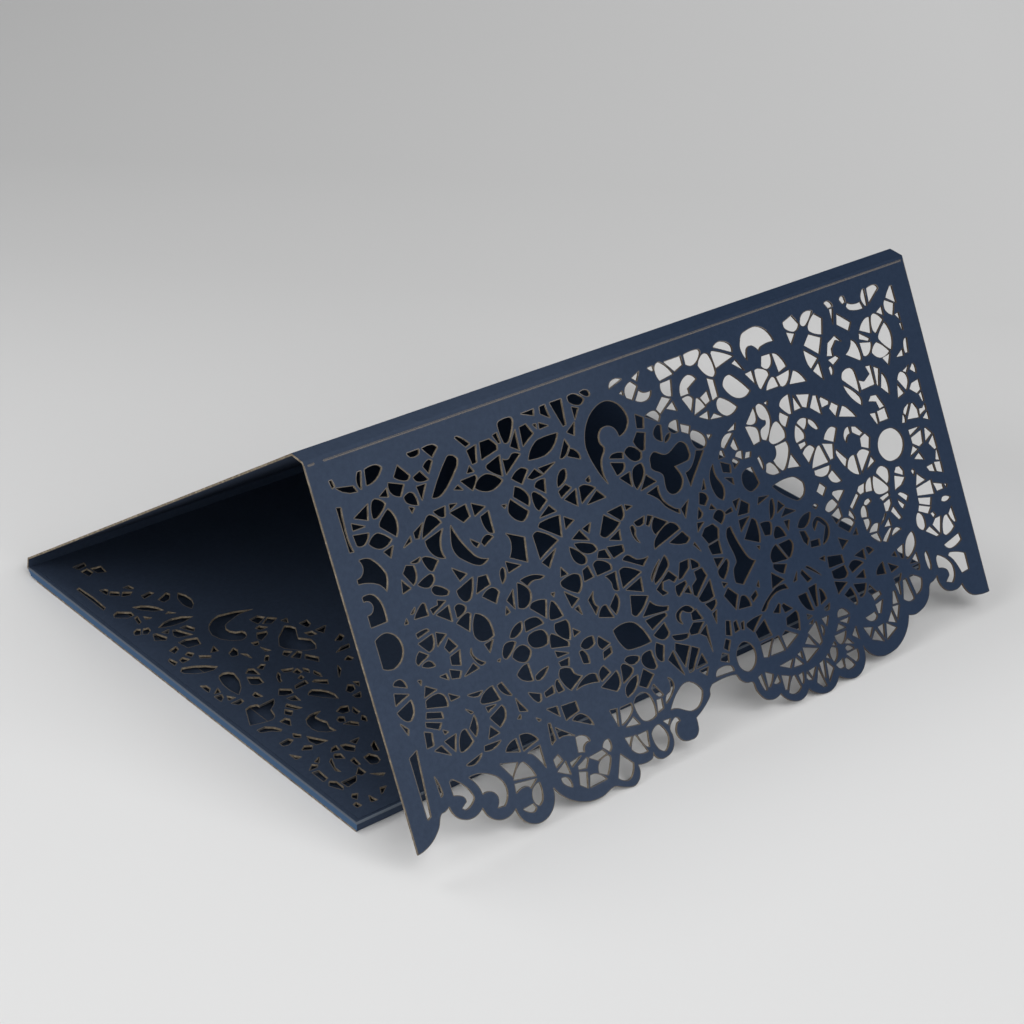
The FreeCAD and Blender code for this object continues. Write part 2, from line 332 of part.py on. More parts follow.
    [(178.1, 39.5), (178.4, 37.8), (179.5, 37.9), (180.9, 36.9), (180.9, 38.5)],
    [(172.9, 41.9), (176.8, 42.0), (173.0, 43.3)],
    [(173.0, 43.9), (177.4, 42.9), (176.8, 46.3), (175.2, 46.8), (173.0, 45.3)],
    [(177.6, 46.3), (178.4, 43.0), (179.0, 42.8), (180.8, 44.8)],
    # Lower left quarter.
    [(12.6, 47.9), (14.0, 46.4), (15.9, 47.8), (12.9, 48.9)],
    [(20.6, 47.6), (22.1, 46.1), (23.7, 48.3), (21.4, 49.0)],
    [(21.3, 50.0), (24.0, 49.4), (23.3, 52.4), (21.1, 51.6)],
    [(30.6, 43.4, 0.7), (33.8, 46.8), (33.8, 49.2), (30.3, 49.3), (28.9, 47.3)],
    [(30.9, 50.4), (33.2, 50.1), (31.6, 52.3)],
    [(5.4, 51.0), (6.0, 50.4), (7.6, 50.6), (8.4, 52.4)],
    [(4.9, 52.8), (8.3, 54.0), (4.5, 55.1)],
    [(4.4, 56.8), (8.4, 55.4), (8.4, 57.8), (7.1, 59.3), (5.7, 58.8)],
    [(4.1, 66.9), (6.2, 66.0), (5.0, 80.3), (4.2, 80.6)],
    [(13.0, 53.9), (15.4, 55.4), (12.1, 55.9)],
    [(12.1, 56.9), (15.4, 56.4), (17.0, 57.5), (17.1, 59.6), (11.8, 58.2)],
    [(11.4, 59.3), (15.1, 60.5), (15.1, 61.6), (11.0, 60.3)],
    [(10.5, 61.2), (14.2, 62.6), (13.4, 63.6), (10.4, 62.0)],
    [(9.5, 63.0), (11.2, 63.8), (10.8, 66.3), (9.1, 66.3)],
    [(10.8, 67.6), (12.7, 67.2), (14.4, 69.8)],
    [(13.9, 66.6), (17.0, 66.1), (15.8, 69.4)],
    [(18.3, 66.5), (19.9, 66.1), (20.9, 69.0), (18.5, 70.1), (17.1, 70.0)],
    [(21.0, 66.2), (22.9, 63.9), (23.0, 66.5), (21.9, 68.2)],
    [(20.2, 52.6), (22.9, 53.8), (22.2, 54.9), (20.1, 54.4)],
    [(23.5, 55.1), (26.5, 53.3), (27.5, 54.6)],
    [(25.7, 61.6), (27.3, 60.2), (29.7, 59.6), (30.7, 62.9), (26.0, 62.2)],
    [(31.1, 59.9), (32.3, 59.7), (34.0, 63.1), (32.0, 61.8)],
    [(26.9, 65.9), (30.6, 64.4), (31.2, 65.6), (30.6, 67.3), (28.7, 68.5)],
    [(26.3, 67.7), (28.0, 69.7), (25.1, 69.9)],
    [(34.7, 64.2), (36.9, 67.8), (34.9, 67.1)],
    [(17.5, 73.3), (22.1, 72.3), (20.0, 73.7)],
    [(23.4, 71.2), (27.8, 71.4), (25.6, 72.3), (23.2, 72.0)],
    [(28.5, 74.2), (29.6, 73.1), (31.8, 72.6), (32.0, 75.4)],
    [(33.0, 72.3), (35.6, 72.8), (37.4, 74.7), (33.0, 75.6)],
    [(33.9, 76.6), (37.4, 76.1), (37.5, 81.2), (35.3, 77.3)],
    [(12.2, 75.2), (13.0, 75.1), (15.9, 78.0), (17.0, 80.6), (14.8, 82.1), (13.6, 81.6), (15.0, 80.8),
     (14.6, 79.3), (12.2, 78.2)],
    [(8.7, 72.7), (9.5, 76.7), (9.0, 77.2)],
    [(17.3, 76.1), (20.5, 76.5), (24.6, 79.0), (25.8, 82.2), (24.2, 85.0), (22.4, 84.8), (23.3, 82.8),
     (21.9, 80.8), (19.5, 80.6), (18.9, 78.3)],
    [(26.0, 76.3), (30.4, 77.6), (28.4, 80.0)],
    [(28.4, 80.7), (30.9, 78.2), (32.2, 78.3), (34.2, 81.9)],
    [(28.3, 81.8), (34.1, 82.7), (32.1, 84.0), (31.0, 83.0), (28.1, 83.6)],
    [(32.5, 84.7), (34.6, 83.8), (34.4, 87.2), (33.1, 88.3), (32.0, 86.9)],
    [(28.7, 87.7), (31.5, 87.6), (32.0, 88.6), (31.0, 89.1)],
    [(41.3, 72.5), (41.8, 72.6), (42.0, 76.4), (40.8, 77.0)],
    [(42.9, 74.0), (47.4, 77.4), (44.8, 76.3), (43.2, 76.4)],
    [(40.1, 80.5), (41.5, 79.9), (42.3, 81.4), (40.3, 82.2)],
    [(40.4, 83.3), (43.0, 82.0), (43.5, 85.0)],
    [(44.3, 82.7), (47.6, 82.2), (44.5, 83.6)],
    [(46.0, 84.2), (48.9, 83.1), (49.3, 83.6), (48.2, 85.3), (46.0, 84.9)],
    [(40.8, 85.2), (42.5, 85.8), (43.0, 87.8), (41.2, 86.4)],
    [(45.9, 85.6), (47.9, 86.3), (47.0, 89.5), (45.3, 88.2)],
    [(37.9, 51.1), (39.4, 49.5), (41.8, 48.9), (41.4, 50.5), (39.4, 51.4)],
    [(42.7, 49.2), (46.1, 49.3), (47.5, 51.0), (42.4, 51.2)],
    [(34.9, 53.5), (36.2, 52.1), (38.8, 52.6), (35.9, 55.0), (34.8, 54.7)],
    [(42.3, 53.7), (43.1, 52.3), (46.6, 52.4), (47.7, 53.8), (47.2, 55.6), (43.5, 55.3)],
    [(37.1, 55.4), (38.1, 54.3), (39.9, 53.8), (41.4, 54.4), (42.2, 55.7), (40.6, 57.4), (38.6, 56.9)],
    [(37.0, 59.5), (38.9, 58.3), (40.5, 58.2), (40.7, 61.9), (38.1, 61.0)],
    [(41.6, 62.1), (41.9, 61.3), (45.6, 60.5), (43.2, 62.3)],
    [(38.5, 64.2), (41.6, 65.6), (41.3, 66.8), (40.2, 66.8)],
    [(42.7, 65.7), (45.4, 65.0), (45.3, 66.5), (42.8, 66.6)],
    [(46.3, 64.7), (47.2, 64.2), (48.0, 66.8), (46.4, 66.8)],
    [(42.1, 69.3), (44.9, 69.7), (45.0, 71.9)],
    [(45.3, 46.8), (46.3, 45.9), (50.0, 46.5), (48.8, 50.1)],
    # Lower middle left.
    [(51.2, 47.3), (52.1, 47.8), (53.3, 51.1), (50.1, 51.0), (49.7, 50.4)],
    [(50.7, 52.3), (53.8, 52.4), (54.3, 53.7), (53.5, 56.7), (50.4, 54.3)],
    [(48.4, 54.4), (49.1, 54.2), (52.9, 57.3), (52.7, 58.0), (47.9, 56.9)],
    [(48.6, 58.1), (52.0, 59.5), (48.8, 59.4)],
    [(48.8, 60.7), (51.7, 60.6), (51.2, 62.1), (49.0, 61.6)],
    [(48.6, 62.3), (51.5, 63.1), (52.1, 64.5), (53.8, 65.6), (50.0, 67.5), (47.9, 64.0)],
    [(55.5, 46.4), (58.8, 49.0), (56.4, 50.2)],
    [(61.4, 50.2), (63.3, 48.8), (62.7, 51.2), (63.6, 52.5), (62.4, 53.8)],
    [(64.5, 53.0), (65.9, 53.0), (67.0, 56.0), (63.1, 54.7)],
    [(66.9, 53.5), (69.3, 51.4), (69.7, 53.3), (67.9, 55.6)],
    [(67.9, 46.7), (71.0, 46.6), (70.5, 50.6), (69.3, 50.1), (69.1, 48.4)],
    [(72.1, 46.8), (74.0, 46.6), (78.1, 48.9), (71.9, 50.6)],
    [(72.6, 51.4), (77.6, 50.1), (77.2, 53.2)],
    [(73.3, 53.1), (78.1, 54.7), (74.0, 57.8), (72.4, 57.0)],
    [(78.3, 56.1), (80.2, 57.8), (83.1, 58.8), (82.8, 59.5), (75.3, 58.7)],
    [(65.9, 59.0), (69.8, 58.5), (73.0, 59.9), (75.5, 64.7), (70.5, 64.6), (67.9, 63.8)],
    [(55.9, 59.2), (57.4, 58.2), (59.8, 58.3), (59.8, 59.8), (57.2, 60.3)],
    [(61.4, 58.9), (63.9, 61.3), (61.7, 61.8), (60.7, 60.5)],
    [(61.5, 62.6), (63.9, 62.1), (63.8, 63.4), (61.2, 64.1)],
    [(55.0, 60.4), (55.7, 60.2), (56.9, 61.6), (56.9, 63.5), (55.3, 63.0)],
    [(58.8, 66.7), (60.5, 65.6), (61.8, 67.5), (59.0, 68.5)],
    [(51.4, 68.0), (55.0, 66.1), (57.8, 66.6), (58.0, 68.3), (54.0, 67.6)],
    [(58.4, 69.8), (63.6, 67.8), (63.8, 70.6), (62.2, 72.0)],
    [(65.2, 67.4), (66.2, 67.1), (68.3, 68.8), (67.8, 69.7), (64.7, 70.9)],
    [(66.8, 66.4), (67.8, 65.9), (70.9, 66.9), (70.5, 67.6), (68.4, 67.8)],
    [(71.4, 68.1), (72.2, 66.9), (74.8, 66.8), (75.3, 70.6), (74.3, 70.9), (72.1, 69.7)],
    [(65.2, 72.1), (69.1, 70.7), (67.8, 73.1), (64.8, 74.3)],
    [(68.8, 73.0), (71.2, 70.0), (73.6, 72.1), (70.9, 74.3)],
    [(76.9, 65.6), (78.8, 66.9), (77.6, 70.0), (76.6, 69.7), (75.9, 68.1)],
    [(76.9, 63.7), (80.7, 62.0), (81.4, 64.5), (80.3, 65.4), (78.6, 65.2)],
    [(75.7, 59.9), (81.6, 60.0), (81.9, 60.6), (76.9, 62.3)],
    [(81.5, 51.6), (86.0, 47.5), (86.6, 48.9), (86.2, 50.2), (81.4, 52.7)],
    [(81.1, 54.1), (86.0, 51.1), (88.1, 53.3), (86.8, 54.2), (85.5, 53.0), (83.6, 53.0), (83.0, 54.7),
     (84.2, 55.9), (82.5, 56.0)],
    [(89.8, 50.4), (92.8, 50.4), (92.2, 52.4), (89.5, 54.0), (88.2, 54.0)],
    [(86.9, 55.2), (90.0, 54.9), (90.2, 55.6), (87.4, 57.6), (86.7, 57.1)],
    [(93.3, 50.7), (95.3, 52.3), (95.2, 53.0), (93.0, 52.8)],
    [(93.3, 53.7), (96.0, 53.5), (96.9, 55.7), (92.3, 59.5), (91.4, 58.8), (91.6, 56.6), (93.4, 55.6)],
    [(88.8, 57.3), (90.7, 56.2), (91.0, 58.3)],
    [(84.7, 62.6), (84.9, 61.2), (88.0, 60.4), (90.2, 61.8), (89.1, 62.1), (87.0, 61.0), (85.7, 62.0),
     (85.9, 63.9)],
    [(89.2, 62.6), (90.9, 62.1), (92.1, 64.7), (89.1, 64.1)],
    [(87.2, 66.1), (89.0, 64.7), (92.2, 65.6), (89.8, 67.6), (87.4, 67.2)],
    [(82.0, 65.6), (86.8, 66.7), (86.5, 67.3), (82.9, 66.9)],
    [(90.2, 67.8), (92.7, 66.4), (92.4, 73.0), (91.8, 69.0)],
    [(82.2, 67.4), (86.3, 69.5), (83.3, 73.7), (81.6, 69.0)],
    [(79.0, 70.4), (80.9, 69.0), (82.4, 75.2)],
    [(84.0, 74.0), (86.7, 69.7), (88.8, 71.0), (85.3, 75.2), (84.0, 75.2)],
    [(86.3, 75.0), (89.0, 72.4), (89.8, 74.8)],
    [(87.1, 75.9), (89.8, 75.9), (88.8, 77.4)],
    [(72.1, 74.9), (72.8, 74.3), (74.7, 77.3), (73.4, 77.1)],
    [(75.0, 79.5), (75.7, 78.0), (77.1, 77.4), (77.7, 75.7), (77.3, 74.2), (78.3, 75.2), (78.2, 77.0)],
    [(72.6, 78.0), (74.0, 78.1), (73.8, 80.2), (72.1, 80.6)],
    [(66.0, 76.4), (68.4, 74.9), (70.9, 76.4), (71.2, 81.0), (68.8, 81.4), (66.9, 80.3)],
    [(58.8, 75.6), (60.7, 75.9), (60.0, 79.7)],
    [(61.8, 76.1), (65.0, 76.1), (64.7, 77.9), (61.1, 79.7)],
    [(62.1, 80.6), (64.7, 79.3), (65.9, 81.2)],
    [(75.9, 81.4), (80.4, 77.5), (83.5, 77.5), (86.2, 80.4), (84.5, 83.1), (81.7, 83.6), (77.6, 81.5)],
    [(61.9, 85.9), (63.3, 83.5), (64.0, 83.5), (66.0, 87.8), (63.6, 87.4)],
    [(64.7, 83.6), (67.4, 83.6), (66.9, 86.9), (66.0, 86.4)],
    [(68.6, 84.7), (70.2, 83.5), (71.6, 83.8), (72.9, 87.0), (71.2, 89.5), (69.3, 88.2)],
    [(92.6, 77.5), (96.5, 78.0), (97.0, 79.2), (91.6, 78.8)],
    [(46.1, 70.1), (50.2, 70.4), (50.4, 72.5), (46.4, 73.3)],
    [(48.1, 74.0), (51.0, 73.7), (53.3, 76.9)],
    [(47.6, 78.0), (50.0, 78.5), (51.0, 79.9), (49.4, 80.2), (48.8, 81.6), (47.3, 81.2)],
    [(49.6, 83.4), (53.8, 83.1), (54.8, 84.3), (52.0, 85.0)],
    [(52.1, 85.6), (55.0, 84.9), (55.3, 85.7), (53.4, 88.8), (51.3, 87.6)],
    [(47.8, 89.7), (48.6, 87.4), (50.6, 87.8), (52.7, 89.6)],
    [(54.2, 82.6), (55.0, 81.6), (56.2, 81.6), (56.4, 83.3), (55.6, 84.0)],
    [(56.1, 90.6), (58.3, 85.9), (61.1, 89.0), (59.9, 91.4), (58.3, 91.9)],
    # Lower middle right.
    [(110.5, 41.8), (112.7, 41.7), (110.8, 43.9)],
    [(111.0, 45.3), (113.1, 42.3), (115.2, 43.9), (114.4, 45.6)],
    [(117.9, 44.7), (118.6, 43.3), (121.9, 43.7)],
    [(99.5, 49.4), (103.2, 49.0), (103.2, 52.3), (100.0, 51.6)],
    [(100.2, 52.7), (103.1, 53.4), (100.6, 55.0)],
    [(100.5, 55.8), (103.8, 54.0), (104.2, 55.1), (101.8, 58.0), (100.7, 57.3)],
    [(107.7, 47.2), (106.6, 47.3), (105.8, 49.5), (106.8, 55.3), (105.3, 57.0), (104.9, 60.0),
     (107.0, 61.1), (112.4, 57.0), (110.3, 55.0)],
    [(110.8, 46.6), (114.2, 46.6), (110.6, 49.2)],
    [(114.6, 47.4), (116.0, 48.5), (115.4, 53.3), (111.1, 51.2)],
    [(117.0, 49.3), (119.9, 49.7), (120.3, 50.4), (119.4, 52.6), (117.5, 52.3)],
    [(121.8, 45.2), (122.7, 44.9), (122.3, 47.8), (120.5, 49.3)],
    [(123.1, 48.4), (124.3, 45.8), (125.8, 47.4)],
    [(124.1, 49.7), (126.0, 48.1), (128.9, 49.6)],
    [(120.3, 53.1), (121.3, 51.6), (122.7, 51.9), (123.9, 54.3), (120.5, 54.0)],
    [(117.7, 57.1), (120.1, 55.5), (122.5, 59.7), (117.7, 59.2)],
    [(121.0, 55.7), (124.6, 55.6), (125.3, 57.1), (123.9, 59.3), (123.0, 59.5)],
    [(128.4, 53.6), (130.3, 51.8), (133.4, 51.4), (131.3, 54.0)],
    [(128.4, 54.7), (130.3, 55.2), (131.0, 57.3), (129.9, 58.7), (128.9, 57.4)],
    [(131.0, 58.0), (134.1, 58.3), (133.9, 59.9), (130.8, 59.5)],
    [(133.4, 55.9), (133.3, 54.3), (135.0, 53.2, 0.6), (138.0, 56.2, 0.5), (136.5, 59.3), (134.9, 59.9),
     (137.2, 56.0), (135.2, 53.9)],
    [(137.4, 47.3), (139.0, 45.7), (140.6, 47.3), (139.0, 48.9)],
    [(135.1, 63.3), (139.8, 64.3), (139.9, 66.1), (134.8, 65.9)],
    [(135.3, 67.1), (139.8, 66.9), (140.3, 68.8), (139.2, 69.7), (135.4, 68.7)],
    [(135.3, 69.7), (139.2, 71.1), (135.6, 72.8)],
    [(137.5, 73.7), (139.9, 72.6), (141.0, 76.1), (140.3, 77.1)],
    [(140.2, 60.1), (143.0, 61.6), (140.6, 62.9)],
    [(116.3, 61.4), (119.6, 64.0), (115.4, 64.9)],
    [(117.7, 59.7), (121.6, 60.9), (120.3, 62.6), (117.6, 60.7)],
    [(115.8, 65.4), (119.6, 65.3), (120.1, 66.4), (116.8, 66.0), (113.5, 67.2), (111.5, 69.0),
     (110.3, 68.8)],
    [(125.3, 64.3), (126.0, 63.7), (128.2, 66.6), (126.8, 66.9)],
    [(122.7, 69.3), (125.4, 69.3), (126.3, 73.8), (124.1, 72.6)],
    [(126.5, 68.5), (129.1, 68.3), (128.0, 73.3), (127.3, 73.3)],
    [(129.8, 69.7), (130.8, 70.6), (131.3, 72.6), (129.2, 73.3)],
    [(113.6, 70.4), (116.0, 68.8), (116.5, 69.3), (115.7, 71.2)],
    [(116.7, 69.7), (117.5, 69.3), (119.9, 71.4), (117.2, 71.6)],
    [(117.2, 73.0), (120.6, 72.3), (121.1, 73.3), (120.3, 76.9), (116.8, 74.7)],
    [(106.7, 73.0), (110.3, 71.1), (111.3, 75.2), (107.2, 75.2)],
    [(104.9, 70.2), (109.9, 69.7), (106.1, 72.6), (104.6, 70.9)],
    [(107.3, 76.2), (111.3, 76.1), (108.6, 79.7), (107.2, 79.3)],
    [(109.6, 79.7), (111.7, 76.6), (113.2, 76.2), (114.1, 79.9)],
    [(114.4, 76.6), (115.8, 75.7), (119.2, 77.8), (114.9, 79.7)],
    [(99.0, 77.4, 0.9), (101.9, 74.0, 0.9), (104.9, 77.4, 0.9), (101.9, 80.9, 0.9)],
    [(97.7, 70.6), (98.7, 67.6), (99.9, 68.0), (99.2, 71.2)],
    [(100.8, 68.7), (101.8, 68.5), (102.0, 70.7), (100.6, 70.9)],
    [(96.0, 73.3), (97.2, 71.6), (98.4, 72.3), (97.2, 74.3)],
    [(94.1, 75.7), (95.1, 74.4), (96.7, 75.2), (96.3, 76.8)],
    [(94.1, 61.9), (97.3, 61.8), (97.2, 62.9), (95.4, 63.8)],
    [(92.7, 60.0), (97.3, 56.9), (97.3, 60.9), (93.6, 61.1)],
    [(100.3, 61.9), (102.0, 60.5), (104.4, 63.0), (102.7, 65.9)],
    [(103.6, 66.1), (105.1, 63.7), (106.8, 64.2), (107.5, 66.6)],
    [(108.2, 64.7), (110.1, 63.8), (110.3, 64.9), (108.5, 65.9)],
    [(103.9, 83.3), (104.9, 83.0), (105.4, 86.8), (104.8, 86.6)],
    [(106.3, 83.0), (108.4, 84.2), (106.8, 86.4), (106.1, 86.4)],
    [(111.0, 85.4), (113.4, 86.4), (111.8, 89.0), (111.0, 88.8)],
    [(112.0, 89.9), (114.1, 86.9), (115.1, 86.8), (116.0, 89.9), (114.1, 90.7)],
    [(119.6, 87.1), (122.3, 86.9), (120.6, 89.2)],
    [(121.3, 90.6), (122.9, 87.3), (124.2, 92.4), (123.0, 92.4)],
    [(123.6, 86.6), (125.3, 86.2), (124.6, 90.6), (123.9, 90.2)],
    [(126.0, 86.8), (127.7, 89.2), (125.3, 91.8)],
    [(111.3, 83.0), (115.8, 82.8), (114.4, 84.5)],
    [(115.6, 84.7), (116.8, 82.8), (118.6, 85.0)],
    [(119.8, 81.4), (124.6, 83.1), (119.9, 85.0)],
    [(121.0, 80.6), (122.5, 79.3), (124.1, 82.1)],
    [(122.7, 78.5), (126.0, 76.8), (126.3, 81.9), (125.4, 82.4)],
    [(128.2, 76.8), (130.3, 76.8), (129.1, 78.8)],
    [(133.4, 78.1), (133.9, 76.9), (135.3, 76.6), (137.2, 78.5)],
    [(131.8, 81.1), (133.0, 79.7), (134.9, 81.2)],
    [(130.8, 82.1), (134.6, 82.1), (133.0, 84.3), (131.7, 84.2)],
    [(136.5, 83.7), (138.2, 82.1), (138.4, 85.2)],
    [(127.9, 85.4), (128.9, 84.3), (130.3, 85.0), (129.8, 86.8), (128.6, 87.8)],
    [(128.9, 88.8), (131.3, 88.0), (131.3, 89.9), (129.9, 89.9)],
    [(132.0, 88.5), (132.9, 88.5), (134.6, 90.7), (132.7, 91.1), (131.7, 90.4)],
    [(133.0, 87.4), (136.7, 87.4), (136.5, 89.5), (135.4, 90.0)],
    [(142.3, 81.2), (145.7, 80.9), (146.1, 81.9), (145.2, 82.6), (143.5, 82.3)],
    # Lower right quarter.
    [(142.1, 49.5), (142.6, 49.0), (146.1, 49.7), (143.5, 51.7)],
    [(138.6, 52.3), (139.8, 51.1), (141.9, 50.7), (143.0, 52.2), (140.0, 53.2)],
    [(140.0, 54.3), (143.1, 53.1), (143.3, 55.4), (140.9, 56.5)],
    [(141.4, 57.3), (143.1, 56.2), (145.6, 56.8), (146.7, 58.1), (144.3, 59.7)],
    [(146.7, 54.0), (150.0, 51.4), (150.7, 52.3), (147.4, 55.0)],
    [(150.4, 51.1), (151.1, 50.2), (153.7, 49.9), (152.8, 52.1), (151.2, 52.3)],
    [(153.3, 52.1), (154.3, 49.9), (156.2, 49.3), (155.6, 52.4)],
    [(156.1, 52.6), (157.1, 49.2), (161.1, 53.1), (160.9, 54.0), (157.4, 53.9)],
    [(158.3, 48.8), (160.2, 47.7), (162.5, 49.2), (161.9, 51.6), (160.9, 52.1)],
    [(164.3, 50.4), (165.2, 49.3), (166.8, 49.5), (167.6, 50.9), (167.3, 52.0)],
    [(163.0, 54.7), (164.0, 51.1), (167.6, 52.6), (165.9, 54.0)],
    [(163.7, 55.9), (164.9, 55.9), (166.9, 57.3), (166.1, 58.3)],
    [(159.9, 59.2), (161.1, 58.3), (162.8, 61.6), (161.9, 61.9)],
    [(157.4, 55.0), (160.6, 54.6), (160.7, 55.2), (158.1, 55.9)],
    [(158.0, 56.6), (160.7, 56.0), (160.7, 57.3), (159.3, 58.8), (158.0, 58.7)],
    [(149.7, 57.6), (150.0, 55.9), (151.1, 55.2), (151.8, 55.7), (151.6, 58.0)],
    [(150.0, 58.5), (151.8, 58.7), (151.9, 59.9), (150.2, 61.1)],
    [(150.9, 62.0), (152.8, 60.6), (154.7, 60.9), (153.8, 62.3)],
    [(151.1, 62.8), (153.5, 62.9), (154.0, 64.9), (153.3, 65.0)],
    [(154.7, 65.2), (157.8, 63.1), (158.5, 63.3), (155.9, 65.8)],
    [(158.0, 65.0), (159.7, 63.6), (161.6, 64.3)],
    [(158.5, 68.7), (160.9, 68.1), (159.9, 71.2), (159.2, 71.2)],
    [(160.9, 71.8), (162.1, 67.8), (165.0, 66.1), (164.9, 69.5)],
    [(161.6, 73.3), (164.5, 71.4), (164.7, 73.7)],
    [(167.3, 72.8), (168.1, 72.3), (168.5, 75.7), (168.0, 76.8), (167.4, 76.0)],
    [(170.6, 55.7), (171.8, 53.0), (174.2, 55.2)],
    [(170.4, 56.4), (176.1, 55.8), (176.1, 59.3), (170.2, 58.1)],
    [(170.0, 58.8), (174.7, 60.0), (173.8, 61.8), (169.9, 60.2)],
    [(169.0, 61.9), (169.7, 60.6), (173.8, 62.2), (172.3, 63.6)],
    [(167.6, 63.7), (168.5, 62.4), (170.0, 63.3), (170.2, 65.9), (169.3, 66.8), (167.6, 65.6)],
    [(169.7, 67.4), (171.6, 66.6), (174.2, 69.7), (173.1, 69.8)],
    [(172.6, 66.6), (174.0, 65.4), (176.4, 65.3), (174.7, 69.7)],
    [(175.7, 69.7), (177.1, 66.1), (178.7, 65.9), (180.0, 69.2), (176.9, 70.4)],
    [(179.2, 65.6), (180.7, 64.2), (181.1, 68.0), (180.4, 68.0)],
    [(176.6, 56.8), (179.7, 58.0), (179.7, 59.0), (177.3, 59.0)],
    [(175.7, 52.3), (178.3, 52.1), (178.5, 54.3), (176.4, 53.5)],
    [(178.7, 51.9), (181.2, 52.4), (181.1, 55.2), (178.9, 54.3)],
    [(171.1, 48.3), (173.0, 45.8), (174.5, 47.3)],
    [(172.5, 49.2), (174.5, 48.1), (175.6, 50.2)],
    [(178.5, 46.9), (181.1, 45.0), (181.2, 48.8), (180.2, 49.0)],
    [(179.5, 51.4), (180.4, 49.3), (181.1, 49.3), (181.1, 52.0)],
    [(175.0, 72.6), (180.9, 71.4), (181.2, 73.0), (178.3, 74.0), (176.1, 73.7)],
    [(175.4, 75.6), (176.1, 75.1), (181.2, 76.8), (181.2, 80.9), (178.5, 81.1), (176.9, 77.3)],
    [(170.9, 75.0), (171.6, 74.4), (175.4, 77.4), (175.9, 80.2), (174.4, 82.3), (172.4, 81.5),
     (173.9, 80.4), (173.5, 78.5), (170.9, 77.4)],
    [(144.0, 65.7), (147.3, 65.1), (147.2, 67.5)],
    [(148.2, 65.2), (149.1, 65.1), (150.5, 66.3), (148.7, 66.8)],
    [(141.2, 67.8), (143.0, 66.8), (146.1, 68.2), (141.8, 69.3)],
    [(142.5, 70.9), (145.7, 69.9), (145.6, 71.9)],
    [(141.2, 72.3), (145.2, 73.3), (143.7, 75.6), (142.3, 75.7)],
    [(145.2, 75.4), (146.2, 73.9), (148.0, 76.3), (146.0, 76.4)],
    [(149.6, 72.4), (150.2, 71.2), (152.5, 70.1), (152.6, 73.0)],
    [(154.2, 71.0), (157.3, 72.8), (154.6, 73.3)],
    [(154.7, 75.0), (157.8, 74.6), (156.8, 76.3), (155.0, 76.3)],
    [(140.7, 83.3), (143.5, 84.2), (142.1, 86.1)],
    [(146.1, 76.6), (149.0, 76.4), (149.3, 77.4), (146.6, 78.2)],
    [(146.6, 79.3), (149.3, 78.8), (147.6, 81.6), (146.8, 81.4)],
    [(154.7, 76.6), (156.2, 76.4), (155.9, 79.5), (155.4, 79.5)],
    [(156.4, 80.9), (157.8, 76.4), (158.8, 76.4), (159.9, 81.8), (158.3, 82.0)],
    [(160.1, 76.4), (161.1, 76.3), (164.0, 78.0), (163.1, 80.3), (161.1, 81.1)],
    [(152.3, 80.9), (153.3, 78.1), (154.0, 78.1), (154.2, 81.1)],
    [(151.9, 81.6), (154.3, 81.8), (152.6, 85.0)],
    [(149.4, 84.4), (151.3, 82.3), (151.8, 85.4)],
    [(147.4, 88.5), (148.5, 84.7), (151.4, 86.8)],
    [(145.4, 84.7), (147.4, 84.5), (146.7, 87.9)],
    [(142.6, 86.8), (144.3, 85.0), (146.2, 88.5)],
]

